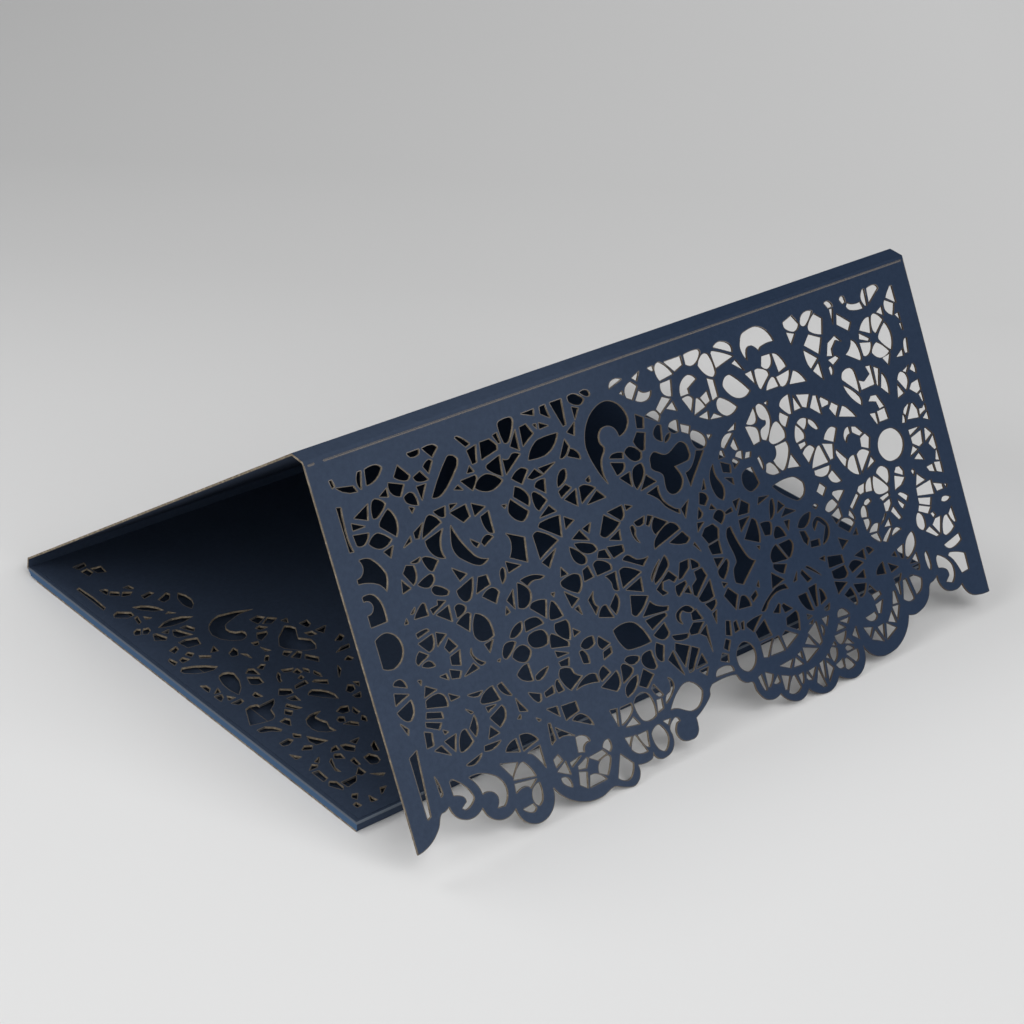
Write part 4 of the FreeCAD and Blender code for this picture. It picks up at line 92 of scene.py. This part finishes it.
# The lace's smallest cut-outs, as corners (u, v) in millimetres: u along the fold, v down the flap.
LACE_LENGTH = 187.0                      # the drawing's size, which starts a little left of the flap
LACE_START = -0.7
LACE_DROP = 94.1
FLAP_DROP = 93.5                         # the flap's real drop
FOLD_GAP = 0.054                         # from the fold's line to where its front face begins
SMALL_WINDOWS = (
    ((4.1, 5.3), (4.9, 5.3), (5.2, 6.8), (4.4, 7)), ((21.8, 16.4), (22.9, 16.9), (22.1, 17.6)),
    ((38.9, 13.7), (39.9, 12.5), (40.6, 13.8)), ((34.4, 16.1), (35.6, 15.6), (36.5, 16.8)),
    ((32, 18.9), (33.9, 19.2), (31.8, 19.9)), ((17.5, 24.1), (19.9, 22.4), (19.8, 23.4)),
    ((34.8, 27.6), (36.8, 29.2), (36.1, 29.7), (35.3, 28.9)), ((18.2, 27.7), (20.8, 27.3), (20.2, 28)),
    ((14.6, 38), (15.9, 37), (15.4, 37.9)), ((12.4, 39.6), (13.1, 38.7), (13.2, 39.6)),
    ((14.5, 42.6), (17.2, 42.4), (17.7, 42.8), (14.6, 43.4)), ((45.5, 23.1), (46.6, 23.3), (46, 23.8)),
    ((38.5, 46), (39.1, 44.5), (39.6, 45.8)), ((59.7, 8.6), (60.5, 8.7), (60.4, 9.6)),
    ((61.4, 8.7), (63.7, 9.9), (61.2, 9.9)), ((74.9, 5.3), (76.8, 5.3), (77.5, 6.3), (76.8, 6.6)),
    ((86.1, 8.6), (86.9, 8.3), (87, 9.1)), ((70, 24.4), (71, 24), (71, 25), (70.3, 25)),
    ((78.8, 33.1), (80.7, 33.9), (78.8, 34.2)), ((55.8, 42.8), (56.4, 41), (57.7, 42.8)),
    ((51.9, 45.6), (52.7, 45.7), (52.3, 46.3)), ((96.1, 5.2), (97.6, 5.2), (97.7, 6), (97.2, 6.1)),
    ((108.2, 24.7), (109.5, 25.1), (108.3, 25.8)),
    ((95.3, 22.8), (95.9, 21.7), (97.4, 21.2), (96.8, 22.2)),
    ((103.6, 34.2), (103.4, 36.5), (102.3, 36.4)),
    ((98.8, 42.4), (99.8, 40.1), (100.5, 41.6), (99.9, 42.3)),
    ((103, 41.3), (103.8, 40.5), (104.8, 41.9)),
    ((107.4, 43.5), (109.5, 43), (109.6, 43.8), (107.4, 43.9)),
    ((109.8, 31), (110.8, 29.5), (111.5, 29.6), (111.7, 31)), ((110, 35.8), (112.3, 36.6), (112.2, 38)),
    ((114.7, 25.7), (117.7, 24.5), (117, 25.8)),
    ((117.8, 33.2), (118.5, 32.1), (120, 32.3), (119.5, 33.3)),
    ((128.3, 22.5), (129.4, 22.3), (129, 23.1)),
    ((121.6, 34.4), (122.3, 34.1), (122.8, 36.7), (122.3, 37.2)),
    ((155.9, 4.7), (157.4, 4.7), (158.2, 5.9), (156.8, 6.1)),
    ((161.2, 5.1), (161.8, 4.6), (162.7, 4.8), (162.9, 6), (161.9, 6.3)),
    ((179.2, 15.8), (180.1, 15.6), (180.1, 17.6), (179.6, 17.4)),
    ((151.9, 20.1), (152.6, 19.8), (153, 20.8), (152.5, 21.8), (152, 21.7)),
    ((171.5, 39.5), (172.3, 37.7), (172.8, 38.2), (172.6, 39.6)),
    ((179.1, 40.3), (181, 39.1), (181, 41.2)), ((13.7, 49.5), (15.6, 49.1), (16.8, 50.4), (15.2, 50.2)),
    ((27.1, 50), (27.2, 52), (29.6, 54), (28.3, 54), (26.7, 51.3)), ((4.2, 59.2), (5.8, 61), (5.4, 62)),
    ((11.6, 52.1), (12.3, 52.3), (12, 53.1)), ((18.2, 57.4), (20.6, 58.8), (18.3, 58.8)),
    ((14.2, 64.2), (15.3, 64.9), (14.4, 65)), ((21.2, 61.9), (22.8, 63.1), (22.4, 63.2)),
    ((17.3, 53.1), (19, 53.1), (19.2, 54.3)), ((22.8, 59.2), (26.8, 59.6), (25.3, 60.2)),
    ((26.6, 63.4), (29.2, 63.6), (26.8, 64.4)), ((33.9, 68.5), (34.7, 68), (34.6, 68.7)),
    ((38.6, 70.1), (39.6, 70.9), (39.1, 70.9)), ((32.9, 54.8), (33.6, 54.7), (33.4, 55.1)),
    ((55, 54.9), (56.6, 56.1), (54.8, 56.5)), ((57.2, 50.9), (58.3, 50.6), (58.6, 52.6)),
    ((80.5, 51.9), (80.9, 50.6), (84.3, 47.8)), ((60.9, 83), (62.7, 83.3), (61.6, 85)),
    ((72.8, 83.1), (74.8, 83.3), (74, 84.3)), ((100.7, 58.7), (102.1, 59.4), (100.9, 59.9)),
    ((114.1, 54), (114.9, 54.2), (114.6, 54.8)), ((124.6, 51), (126.2, 51.2), (125.1, 53.4)),
    ((134.8, 50.4), (135.6, 50.1), (136.3, 50.6), (135.5, 51.1)),
    ((132.5, 62.9), (134.2, 62.8), (133.9, 63.8)), ((122.4, 65.5), (124.2, 63.5), (123.5, 65.4)),
    ((127.4, 63.5), (128.1, 63.5), (131.6, 66.8)),
    ((129.8, 74.7), (131.8, 74), (131.3, 75.2), (130.1, 75.2)),
    ((123.9, 74.3), (125.3, 75.1), (123.7, 75.3)), ((123.7, 76.6), (125.4, 76), (124.7, 76.8)),
    ((103, 69.5), (103.9, 69.4), (103.4, 71.1), (102.8, 70.9)),
    ((95.4, 64.7), (96.8, 64.2), (95.8, 67.1)), ((95.4, 47.7), (95.8, 47.4), (97, 49.8)),
    ((110.8, 62.8), (111.7, 61.8), (111.4, 63.2)),
    ((108.2, 86.2), (109.8, 84.9), (110.1, 86.4), (109.2, 86.6)),
    ((116.3, 87.1), (117.7, 86.9), (117.2, 89), (116.7, 89.2)),
    ((118.4, 88.5), (118.9, 87.1), (120.3, 89.5), (118.9, 89.2)),
    ((117.7, 82.3), (118.9, 81.9), (118.9, 83.7)), ((127.2, 78), (127.9, 79.2), (127.2, 80.7)),
    ((133.7, 79.2), (137, 79.3), (136, 80.4)), ((133.4, 84.7), (134.6, 84), (136.1, 85.7)),
    ((133.2, 85.9), (134.1, 85.7), (135.8, 86.8), (133.6, 86.6)),
    ((129.4, 83.8), (130.1, 83.3), (130.4, 84.2)), ((126.3, 85.9), (127, 85.4), (127.5, 86.6)),
    ((145.6, 55.9), (146.2, 54.7), (147.3, 56.8), (147.1, 57.3)),
    ((145.4, 60.7), (146.8, 59.5), (146.8, 61.1)), ((163, 57), (165, 59), (164.3, 59.7), (163.5, 58.8)),
    ((151.6, 54.7), (152.4, 54.1), (153.8, 54.2), (154, 54.7), (152.3, 55.2)),
    ((156.4, 62.1), (158.5, 60.6), (158.6, 62.4)),
    ((155.2, 61.2), (157.6, 59), (158, 59.2), (156.9, 60.4)),
    ((162.1, 74.3), (164.5, 74.3), (164.3, 75.4), (163.8, 75.6)),
    ((156.2, 69.5), (157.4, 69), (157.6, 70.2)),
    ((170.2, 51.8), (170.7, 51.4), (171.3, 52.1), (170.7, 53)),
    ((173.1, 63.8), (174, 63.7), (174.5, 64.5), (173.7, 65)), ((180.4, 58.1), (181.2, 58.5), (180.7, 59)),
    ((178, 61.8), (178.7, 61.1), (181.2, 61.8), (179.8, 62.3)),
)

# The flap's own directions: along its fold, up the panel, and out of its front.
ALONG = Vector((1.0, 0.0, 0.0))
UP = Vector((0.0, math.cos(FLAP_SLOPE), math.sin(FLAP_SLOPE)))
OUT = ALONG.cross(UP)

# Colours are linear.
NAVY = (0.022, 0.034, 0.060)             # the card's navy dye in its dark and light fibres, as at the lit left end
NAVY_LIGHT = (0.030, 0.045, 0.077)
NAVY_SHADED = (0.009, 0.020, 0.044)             # painted shade: the same navy darkened at the right end, for the light's falloff
NAVY_LIGHT_SHADED = (0.014, 0.027, 0.056)
SINGED = (0.11, 0.08, 0.055)             # the core on a cut wall, from its darkest grain to its palest
CORE = (0.20, 0.165, 0.12)
CORE_PALE = (0.38, 0.32, 0.24)
RIM = (0.150, 0.125, 0.090)              # the burnt rim beside a cut, at the left and at the right
RIM_DARK = (0.050, 0.042, 0.035)
SCORED = (0.215, 0.185, 0.15)            # the ridge's score lines
SCORE_AND_HIGHLIGHT = (0.115, 0.135, 0.165)             # the pocket's score lines, painted pale as a highlight along the folds
SIDE_PAINTED_HIGHLIGHT = (0.050, 0.105, 0.20)         # painted highlight: the pocket's folded sides, a lighter blue where light catches them

# The camera's directions in radians, its place in metres and its lens in millimetres.
HEADING = math.radians(42.242)
TILT = math.radians(29.311)
ROLL = math.radians(3.002)
CAMERA_AT = (-0.36657, -0.40155, 0.32893)
LENS = 88.08

# The table's greys along the camera's heading, at the left and at the right, as painted shade for the
# light's falloff.
FLOOR_SCALE = 1.25
FLOOR_SHIFT = 0.25
FLOOR_SIDE = 2.4
FLOOR_MIDDLE = 0.58
FLOOR_HALF = 6.0
FLOOR_DROP = 0.00002                     # keeps the card's underside just clear of the table
FLOOR_LEFT = ((0.05, 0.75), (0.25, 0.68), (0.37, 0.60), (0.50, 0.475), (0.60, 0.41), (0.80, 0.39))
FLOOR_RIGHT = ((0.05, 0.72), (0.25, 0.69), (0.41, 0.60), (0.48, 0.55), (0.60, 0.54), (0.90, 0.53))

# Name, azimuth, elevation, strength and softness of each lamp.
LAMPS = (
    ("front", 182.0, 40.0, 2.750, 60.0),
    ("left", 278.0, 28.0, 1.200, 40.0),
    ("back", 340.0, 50.0, 0.600, 24.0),
    ("top", 0.0, 85.0, 0.400, 50.0),
)
FILL = (0.94, 0.97, 1.0)
FILL_STRENGTH = 0.020


def node(tree, kind, **settings):
    made = tree.nodes.new(kind)
    for name, value in settings.items():
        setattr(made, name, value)
    return made


def feed(tree, socket, value):
    if isinstance(value, (int, float)):
        socket.default_value = value
    elif isinstance(value, tuple):
        socket.default_value = (*value, 1.0)
    else:
        tree.links.new(value, socket)


def maths(tree, operation, *values):
    """A math node on sockets or numbers."""
    made = node(tree, "ShaderNodeMath", operation=operation)
    for socket, value in zip(made.inputs, values):
        feed(tree, socket, value)
    return made.outputs[0]


def ramp(tree, value, stops):
    made = node(tree, "ShaderNodeValToRGB")
    tree.links.new(value, made.inputs[0])
    bar = made.color_ramp
    while len(bar.elements) < len(stops):
        bar.elements.new(0.5)
    for element, (place, colour) in zip(bar.elements, stops):
        element.position = place
        element.color = (*colour, 1.0)
    return made.outputs[0]


def mix(tree, factor, first, second):
    made = node(tree, "ShaderNodeMix", data_type="RGBA")
    feed(tree, made.inputs[0], factor)
    feed(tree, made.inputs[6], first)
    feed(tree, made.inputs[7], second)
    return made.outputs[2]


def noise(tree, vector, scale, detail, roughness=0.5):
    made = node(tree, "ShaderNodeTexNoise")
    tree.links.new(vector, made.inputs["Vector"])
    made.inputs["Scale"].default_value = scale
    made.inputs["Detail"].default_value = detail
    made.inputs["Roughness"].default_value = roughness
    return made.outputs[0]


def dot(tree, first, second):
    made = node(tree, "ShaderNodeVectorMath", operation="DOT_PRODUCT")
    for socket, value in zip(made.inputs, (first, second)):
        if isinstance(value, tuple):
            socket.default_value = value
        else:
            tree.links.new(value, socket)
    return made.outputs["Value"]


def both(tree, *masks):
    result = masks[0]
    for mask in masks[1:]:
        result = maths(tree, "MULTIPLY", result, mask)
    return result


def either(tree, *masks):
    result = masks[0]
    for mask in masks[1:]:
        result = maths(tree, "MAXIMUM", result, mask)
    return result


def opposite(tree, mask):
    return maths(tree, "SUBTRACT", 1.0, mask)


def fresh_material(name):
    material = bpy.data.materials.new(name)
    material.use_nodes = True
    material.node_tree.nodes.clear()
    return material, material.node_tree


def smooth_step(tree, value, start, end):
    """A mask that rises smoothly from 0 to 1 between two values."""
    made = node(tree, "ShaderNodeMapRange", interpolation_type="SMOOTHSTEP")
    tree.links.new(value, made.inputs["Value"])
    made.inputs["From Min"].default_value = start
    made.inputs["From Max"].default_value = end
    return made.outputs[0]


def above(tree, value, limit):
    return maths(tree, "GREATER_THAN", value, limit)


def under(tree, value, limit):
    return maths(tree, "LESS_THAN", value, limit)


def cut_masks(tree, place, geometry):
    """Masks of the cut walls, the burnt rims beside them, the pocket's sides and its score lines."""
    split = node(tree, "ShaderNodeSeparateXYZ")
    tree.links.new(place, split.inputs[0])
    x, y, z = split.outputs
    normal = geometry.outputs["True Normal"]
    facing = maths(tree, "ABSOLUTE", dot(tree, normal, (1.0, 0.0, 0.0)))
    from_end = maths(tree, "SUBTRACT", HIGH.x, maths(tree, "ABSOLUTE", x))
    from_front = maths(tree, "ABSOLUTE", maths(tree, "SUBTRACT", y, FRONT_FOLD))

    # A cut wall stands square to its panel, so its normal is no panel's normal.
    flat = 0.0
    for slope in PANEL_SLOPES:
        turn = math.radians(slope)
        along = dot(tree, normal, (0.0, -math.sin(turn), math.cos(turn)))
        flat = maths(tree, "MAXIMUM", flat, maths(tree, "ABSOLUTE", along))
    walls = under(tree, flat, FLAT_ENOUGH)

    # Folds are rounded but whole, and so are the pocket's side walls between their folds.
    def folds(margin):
        ridge = above(tree, z, HIGH.z - RIDGE_REACH - margin)
        spine = above(tree, y, HIGH.y - SPINE_REACH - margin)
        low = under(tree, z, POCKET_TOP + FRONT_RISE)
        front = both(tree, under(tree, from_front, FRONT_REACH + margin), low)
        return both(tree, either(tree, ridge, spine, front), under(tree, facing, 0.5))

    in_depth = both(tree, above(tree, y, FRONT_FOLD), under(tree, y, REAR_FOLD))
    below_top = under(tree, z, POCKET_TOP + SURFACE)
    side = both(tree, under(tree, from_end, SURFACE), above(tree, z, THICKNESS), below_top, in_depth)

    # The pocket's own score lines run along its folds, where the face meets the walls.
    level = both(tree, above(tree, z, POCKET_TOP - SCORE_LEVEL), below_top, in_depth)
    beside = either(tree, under(tree, from_end, SCORE_BORDER), under(tree, from_front, SCORE_BORDER))
    line = either(tree, under(tree, from_end, SCORE_SIDE), under(tree, from_front, SCORE_FRONT))
    border = both(tree, level, beside)
    scored = both(tree, level, line)
    cut = both(tree, walls, opposite(tree, folds(0.0)), opposite(tree, side), opposite(tree, border))

    # The laser singes a narrow rim beside every cut.
    bevel = node(tree, "ShaderNodeBevel", samples=6)
    bevel.inputs["Radius"].default_value = RIM_REACH
    near = smooth_step(tree, dot(tree, bevel.outputs[0], normal), RIM_START, RIM_FULL)
    bare = either(tree, walls, folds(FOLD_MARGIN), border)
    return cut, both(tree, near, opposite(tree, bare)), side, scored


def card_material():
    """Uncoated navy card with soft fibres; the laser leaves a singed cream core on every cut wall."""
    material, tree = fresh_material("navy_card")
    links = tree.links
    output = node(tree, "ShaderNodeOutputMaterial")
    shader = node(tree, "ShaderNodeBsdfPrincipled")
    links.new(shader.outputs[0], output.inputs[0])
    place = node(tree, "ShaderNodeTexCoord").outputs["Object"]
    geometry = node(tree, "ShaderNodeNewGeometry")

    fibre = noise(tree, place, 900.0, 6.0, 0.65)
    cloud = noise(tree, place, 60.0, 4.0)
    tooth = noise(tree, place, 2600.0, 3.0)
    blend = maths(tree, "MULTIPLY_ADD", fibre, 0.7, maths(tree, "MULTIPLY", cloud, 0.3))
    navy = ramp(tree, blend, [(0.32, NAVY), (0.68, NAVY_LIGHT)])
    shaded_navy = ramp(tree, blend, [(0.32, NAVY_SHADED), (0.68, NAVY_LIGHT_SHADED)])
    grain = ramp(tree, fibre, [(0.3, SINGED), (0.5, CORE), (0.7, CORE_PALE)])

    # Towards the right end the card is darkened as painted shade for the light's falloff; the cut walls and
    # the burnt rims turn darker there too.
    split = node(tree, "ShaderNodeSeparateXYZ")
    links.new(place, split.inputs[0])
    right = smooth_step(tree, split.outputs[0], SHADE_START, SHADE_END)
    navy = mix(tree, right, navy, shaded_navy)
    grain = mix(tree, right, grain, SINGED)
    below = under(tree, split.outputs[2], HIGH.z - RIDGE_SCORES)
    burnt = mix(tree, below, SCORED, mix(tree, right, RIM, RIM_DARK))

    cut, rim, side, scored = cut_masks(tree, place, geometry)
    # The pocket's folded sides take a painted highlight in place of the light that catches them.
    colour = mix(tree, side, navy, SIDE_PAINTED_HIGHLIGHT)
    colour = mix(tree, maths(tree, "MULTIPLY", rim, RIM_SHARE), colour, burnt)
    # The pocket's score lines are real; their pale colour is a painted highlight along the folds.
    colour = mix(tree, maths(tree, "MULTIPLY", scored, RIM_SHARE), colour, SCORE_AND_HIGHLIGHT)
    colour = mix(tree, cut, colour, grain)
    links.new(colour, shader.inputs["Base Color"])
    shader.inputs["Roughness"].default_value = 0.8
    shader.inputs["Specular IOR Level"].default_value = 0.2

    height = maths(tree, "MULTIPLY_ADD", fibre, 0.6, tooth)
    bump = node(tree, "ShaderNodeBump")
    bump.inputs["Strength"].default_value = 0.35
    bump.inputs["Distance"].default_value = 0.00008
    links.new(height, bump.inputs["Height"])
    links.new(bump.outputs[0], shader.inputs["Normal"])
    return material


def direction(angle):
    return Vector((math.cos(angle), math.sin(angle)))


def heading(side):
    return math.atan2(side.y, side.x)


def bend(before, after):
    """Signed turn from one side to the next, in radians."""
    return math.atan2(before.x * after.y - before.y * after.x, before.dot(after))


def panel_outlines(shell, faces):
    """Closed outlines of a set of faces, as lists of 2-D points on the flap in millimetres."""
    chosen = set(faces)
    following = {}
    for face in faces:
        for loop in face.loops:
            if sum(other in chosen for other in loop.edge.link_faces) == 1:
                following[loop.vert] = loop.link_loop_next.vert
    outlines = []
    while following:
        vertex = min(following, key=lambda candidate: candidate.index)
        outline = []
        while vertex in following:
            outline.append(Vector((vertex.co.dot(ALONG), vertex.co.dot(UP))) * MM)
            vertex = following.pop(vertex)
        outlines.append(outline)
    return outlines


def grown(points, amount):
    """A cut-out's outline moved outwards all round, as the laser's kerf widens it."""
    count = len(points)
    outward = math.copysign(amount, sum(points[i - 1].cross(points[i]) for i in range(count)))
    normals = []
    for index in range(count):
        side = (points[(index + 1) % count] - points[index]).normalized()
        normals.append(Vector((side.y, -side.x)))
    moved = []
    for index, point in enumerate(points):
        before, after = normals[index - 1], normals[index]
        moved.append(point + (before + after) * outward / max(0.5, 1.0 + before.dot(after)))
    return moved


def gap(first, second):
    """Shortest way from any corner of one outline to a side of the other."""
    shortest = math.inf
    for corners, outline in ((first, second), (second, first)):
        for start, end in zip(outline, outline[1:] + outline[:1]):
            side = end - start
            for point in corners:
                share = max(0.0, min(1.0, (point - start).dot(side) / side.length_squared))
                shortest = min(shortest, (start + side * share - point).length)
    return shortest


def span(points, margin=0.0):
    across, height = [point.x for point in points], [point.y for point in points]
    return min(across) - margin, max(across) + margin, min(height) - margin, max(height) + margin


def overlap(first, second):
    return first[0] < second[1] and second[0] < first[1] and first[2] < second[3] and second[2] < first[3]


def crowded(windows, edge, limit):
    """For each cut-out, whether another or the flap's edge lies nearer than a limit."""
    spans = [span(window, limit) for window in windows]
    sides = [(side, span(side)) for side in ([start, end] for start, end in zip(edge, edge[1:] + edge[:1]))]
    found = [False] * len(windows)
    for index, window in enumerate(windows):
        near_edge = [side for side, reach in sides if overlap(reach, spans[index])]
        if any(gap(window, side) < limit for side in near_edge):
            found[index] = True
        for other in range(index + 1, len(windows)):
            if overlap(spans[index], spans[other]) and gap(window, windows[other]) < limit:
                found[index] = found[other] = True
    return found


def small_windows(top):
    """The lace's smallest cut-outs, which the frame's model leaves out, on the flap in millimetres."""
    along = (HIGH.x - LOW.x) * MM / LACE_LENGTH
    down = FLAP_DROP / LACE_DROP
    left, upper = LOW.x * MM, top * MM - FOLD_GAP
    return [
        [Vector((left + (u - LACE_START) * along, upper - v * down)) for u, v in window]
        for window in SMALL_WINDOWS
    ]


def rounded(points, shallow):
    """A polygon's sides as Bezier pieces: corners that turn less than an angle become curves."""
    count = len(points)
    sides = [points[(i + 1) % count] - points[i] for i in range(count)]
    tangents = []
    for index in range(count):
        before, after = sides[index - 1], sides[index]
        turn = bend(before, after)
        share = after.length / (before.length + after.length)
        soft = abs(turn) < shallow
        tangents.append(heading(before) + turn * share if soft else None)
    pieces = []
    for index, (point, side) in enumerate(zip(points, sides)):
        chord = heading(side)
        leaving, arriving = tangents[index], tangents[(index + 1) % count]
        if leaving is None:
            leaving = chord if arriving is None else 2 * chord - arriving
        if arriving is None:
            arriving = 2 * chord - leaving
        end = point + side
        reach = side.length / 3
        pieces.append((point, point + direction(leaving) * reach, end - direction(arriving) * reach, end))
    return pieces


def flattened(pieces):
    """Points along a closed outline of Bezier pieces, as the curve's own steps place them."""
    points = []
    for piece in pieces:
        points += interpolate_bezier(*piece, CURVE_STEPS + 1)[:-1]
    return [point.xy for point in points]


def add_spline(curve, pieces):
    spline = curve.splines.new("BEZIER")
    spline.bezier_points.add(len(pieces) - 1)
    spline.use_cyclic_u = True
    for index, (start, leaving, arriving, _) in enumerate(pieces):
        spline.bezier_points[index].co = (*start, 0.0)
        spline.bezier_points[index].handle_right = (*leaving, 0.0)
        spline.bezier_points[(index + 1) % len(pieces)].handle_left = (*arriving, 0.0)


def lace_outlines(edge, windows):
    """The flap's edge and cut-outs as curves; where threads are thin, cut-outs stay as drawn."""
    straight = [rounded(window, 0.0) for window in windows]
    curved = [rounded(grown(window, KERF), SHALLOW) for window in windows]
    border = rounded(edge, SHALLOW)
    close = crowded(windows, edge, THREAD)
    drawn = [plain if tight else wide for tight, plain, wide in zip(close, straight, curved)]
    close = crowded([flattened(window) for window in drawn], flattened(border), HAIR)
    drawn = [plain if tight else window for tight, plain, window in zip(close, straight, drawn)]
    return [border] + drawn


def lace_plate(edge, windows, reach):
    """The flap below the seam as one plate, filled between its edge and its cut-outs."""
    curve = bpy.data.curves.new("lace_curve", "CURVE")
    curve.dimensions = "2D"
    curve.fill_mode = "BOTH"
    curve.resolution_u = CURVE_STEPS
    curve.extrude = THICKNESS * MM / 2
    for outline in lace_outlines(edge, windows):
        add_spline(curve, outline)
    holder = bpy.data.objects.new("lace_curve", curve)
    mesh = bpy.data.meshes.new_from_object(holder)
    bpy.data.objects.remove(holder)
    turn = Matrix((ALONG, UP, OUT)).transposed().to_4x4()
    mesh.transform(turn @ Matrix.Scale(1 / MM, 4))
    mesh.transform(Matrix.Translation(OUT * (reach - THICKNESS / 2)))
    return mesh


def in_flap(face, reach):
    """Whether a face lies within the flap's thickness, whose front is at a given reach."""
    depths = [reach - vertex.co.dot(OUT) for vertex in face.verts]
    return -LEVEL < min(depths) and max(depths) < THICKNESS + LEVEL


def card_piece():
    """The folded card again, with the flap's lace drawn as smooth curves."""
    shell = bmesh.new()
    shell.from_mesh(CARD.data)
    bmesh.ops.remove_doubles(shell, verts=shell.verts, dist=WELD)
    shell.verts.index_update()
    shell.normal_update()
    facing = [face for face in shell.faces if face.normal.dot(OUT) > PARALLEL]
    reach = max(face.calc_center_median().dot(OUT) for face in facing)
    front = [face for face in facing if reach - face.calc_center_median().dot(OUT) < LEVEL]
    top = max(vertex.co.dot(UP) for face in front for vertex in face.verts)
    seam = top - SEAM_DROP

    outlines = []
    for outline in panel_outlines(shell, front):
        if min(point.y for point in outline) < seam * MM:
            outlines.append([Vector((point.x, min(point.y, seam * MM))) for point in outline])
    outlines.sort(key=lambda outline: min(point.x for point in outline))
    edge, windows = outlines[0], outlines[1:] + small_windows(top)
    plate = lace_plate(edge, windows, reach)

    slab = [face for face in shell.faces if in_flap(face, reach)]
    parts = dict.fromkeys(part for face in slab for part in (face, *face.edges, *face.verts))
    bmesh.ops.bisect_plane(shell, geom=list(parts), plane_co=UP * seam, plane_no=UP)
    old = [face for face in shell.faces if face.calc_center_median().dot(UP) < seam and in_flap(face, reach)]
    bmesh.ops.delete(shell, geom=old, context="FACES")
    shell.from_mesh(plate)
    shell.normal_update()

    # The new plate's upper end meets the old sheet at the seam, where it needs no wall.
    ends = [
        face for face in shell.faces
        if abs(face.normal.dot(UP)) > SQUARE and abs(face.calc_center_median().dot(UP) - seam) < WELD
        and face.calc_center_median().dot(OUT) > reach - THICKNESS
    ]
    bmesh.ops.delete(shell, geom=ends, context="FACES")
    bmesh.ops.remove_doubles(shell, verts=shell.verts, dist=2 * WELD)
    for vertex in shell.verts:
        vertex.co.y = max(vertex.co.y, LOW.y)
        vertex.co.z = max(vertex.co.z, LOW.z)
    mesh = bpy.data.meshes.new("folded_card")
    shell.to_mesh(mesh)
    shell.free()
    bpy.data.meshes.remove(plate)
    mesh.materials.append(card_material())
    piece = bpy.data.objects.new("folded_card", mesh)
    bpy.context.scene.collection.objects.link(piece)
    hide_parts("pocket_fold_card")
    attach(piece, "root")


def floor_material():
    """Pale matt table, with painted shade that darkens it away from the camera and most at the far left, for
    the light's falloff.
    """
    material, tree = fresh_material("pale_floor")
    links = tree.links
    output = node(tree, "ShaderNodeOutputMaterial")
    shader = node(tree, "ShaderNodeBsdfPrincipled")
    links.new(shader.outputs[0], output.inputs[0])
    place = node(tree, "ShaderNodeTexCoord").outputs["Object"]
    away = dot(tree, place, (math.sin(HEADING), math.cos(HEADING), 0.0))
    across = dot(tree, place, (math.cos(HEADING), -math.sin(HEADING), 0.0))
    away = maths(tree, "MULTIPLY_ADD", away, FLOOR_SCALE, FLOOR_SHIFT)
    left, right = (
        ramp(tree, away, [(stop, (grey, grey, grey)) for stop, grey in greys])
        for greys in (FLOOR_LEFT, FLOOR_RIGHT)
    )
    side = maths(tree, "MULTIPLY_ADD", across, FLOOR_SIDE, FLOOR_MIDDLE)
    links.new(mix(tree, side, left, right), shader.inputs["Base Color"])
    shader.inputs["Roughness"].default_value = 0.9
    shader.inputs["Specular IOR Level"].default_value = 0.0
    return material


def add_floor():
    mesh = bpy.data.meshes.new("floor")
    corners = [(x * FLOOR_HALF, y * FLOOR_HALF, 0.0) for x, y in ((-1, -1), (1, -1), (1, 1), (-1, 1))]
    mesh.from_pydata(corners, [], [(0, 1, 2, 3)])
    floor = bpy.data.objects.new("floor", mesh)
    bpy.context.scene.collection.objects.link(floor)
    floor.location.z = LOW.z - FLOOR_DROP
    mesh.materials.append(floor_material())


def add_sun(name, azimuth, elevation, strength, softness):
    """A soft distant lamp; azimuth from +Y towards +X, where the light comes from."""
    lamp = bpy.data.lights.new(name, "SUN")
    lamp.energy = strength
    lamp.angle = math.radians(softness)
    holder = bpy.data.objects.new(name, lamp)
    turn, lift = math.radians(azimuth), math.radians(elevation)
    source = Vector((math.sin(turn) * math.cos(lift), math.cos(turn) * math.cos(lift), math.sin(lift)))
    holder.rotation_euler = source.to_track_quat("Z", "Y").to_euler()
    bpy.context.scene.collection.objects.link(holder)


def add_world():
    world = bpy.data.worlds.new("studio")
    bpy.context.scene.world = world
    world.use_nodes = True
    background = world.node_tree.nodes["Background"]
    background.inputs[0].default_value = (*FILL, 1.0)
    background.inputs[1].default_value = FILL_STRENGTH


def add_camera():
    """Camera placed by its heading, its downward tilt and a slight roll."""
    data = bpy.data.cameras.new("camera")
    data.lens = LENS
    data.sensor_width = 36.0
    data.clip_start = 0.01
    data.clip_end = 30.0
    camera = bpy.data.objects.new("camera", data)
    turn = Matrix.Rotation(-HEADING, 4, "Z") @ Matrix.Rotation(math.pi / 2 - TILT, 4, "X")
    turn = turn @ Matrix.Rotation(ROLL, 4, "Z")
    camera.matrix_world = Matrix.Translation(CAMERA_AT) @ turn
    bpy.context.scene.collection.objects.link(camera)
    bpy.context.scene.camera = camera


card_piece()
add_floor()
for lamp in LAMPS:
    add_sun(*lamp)
add_world()
add_camera()
bpy.context.scene.view_settings.view_transform = "Standard"
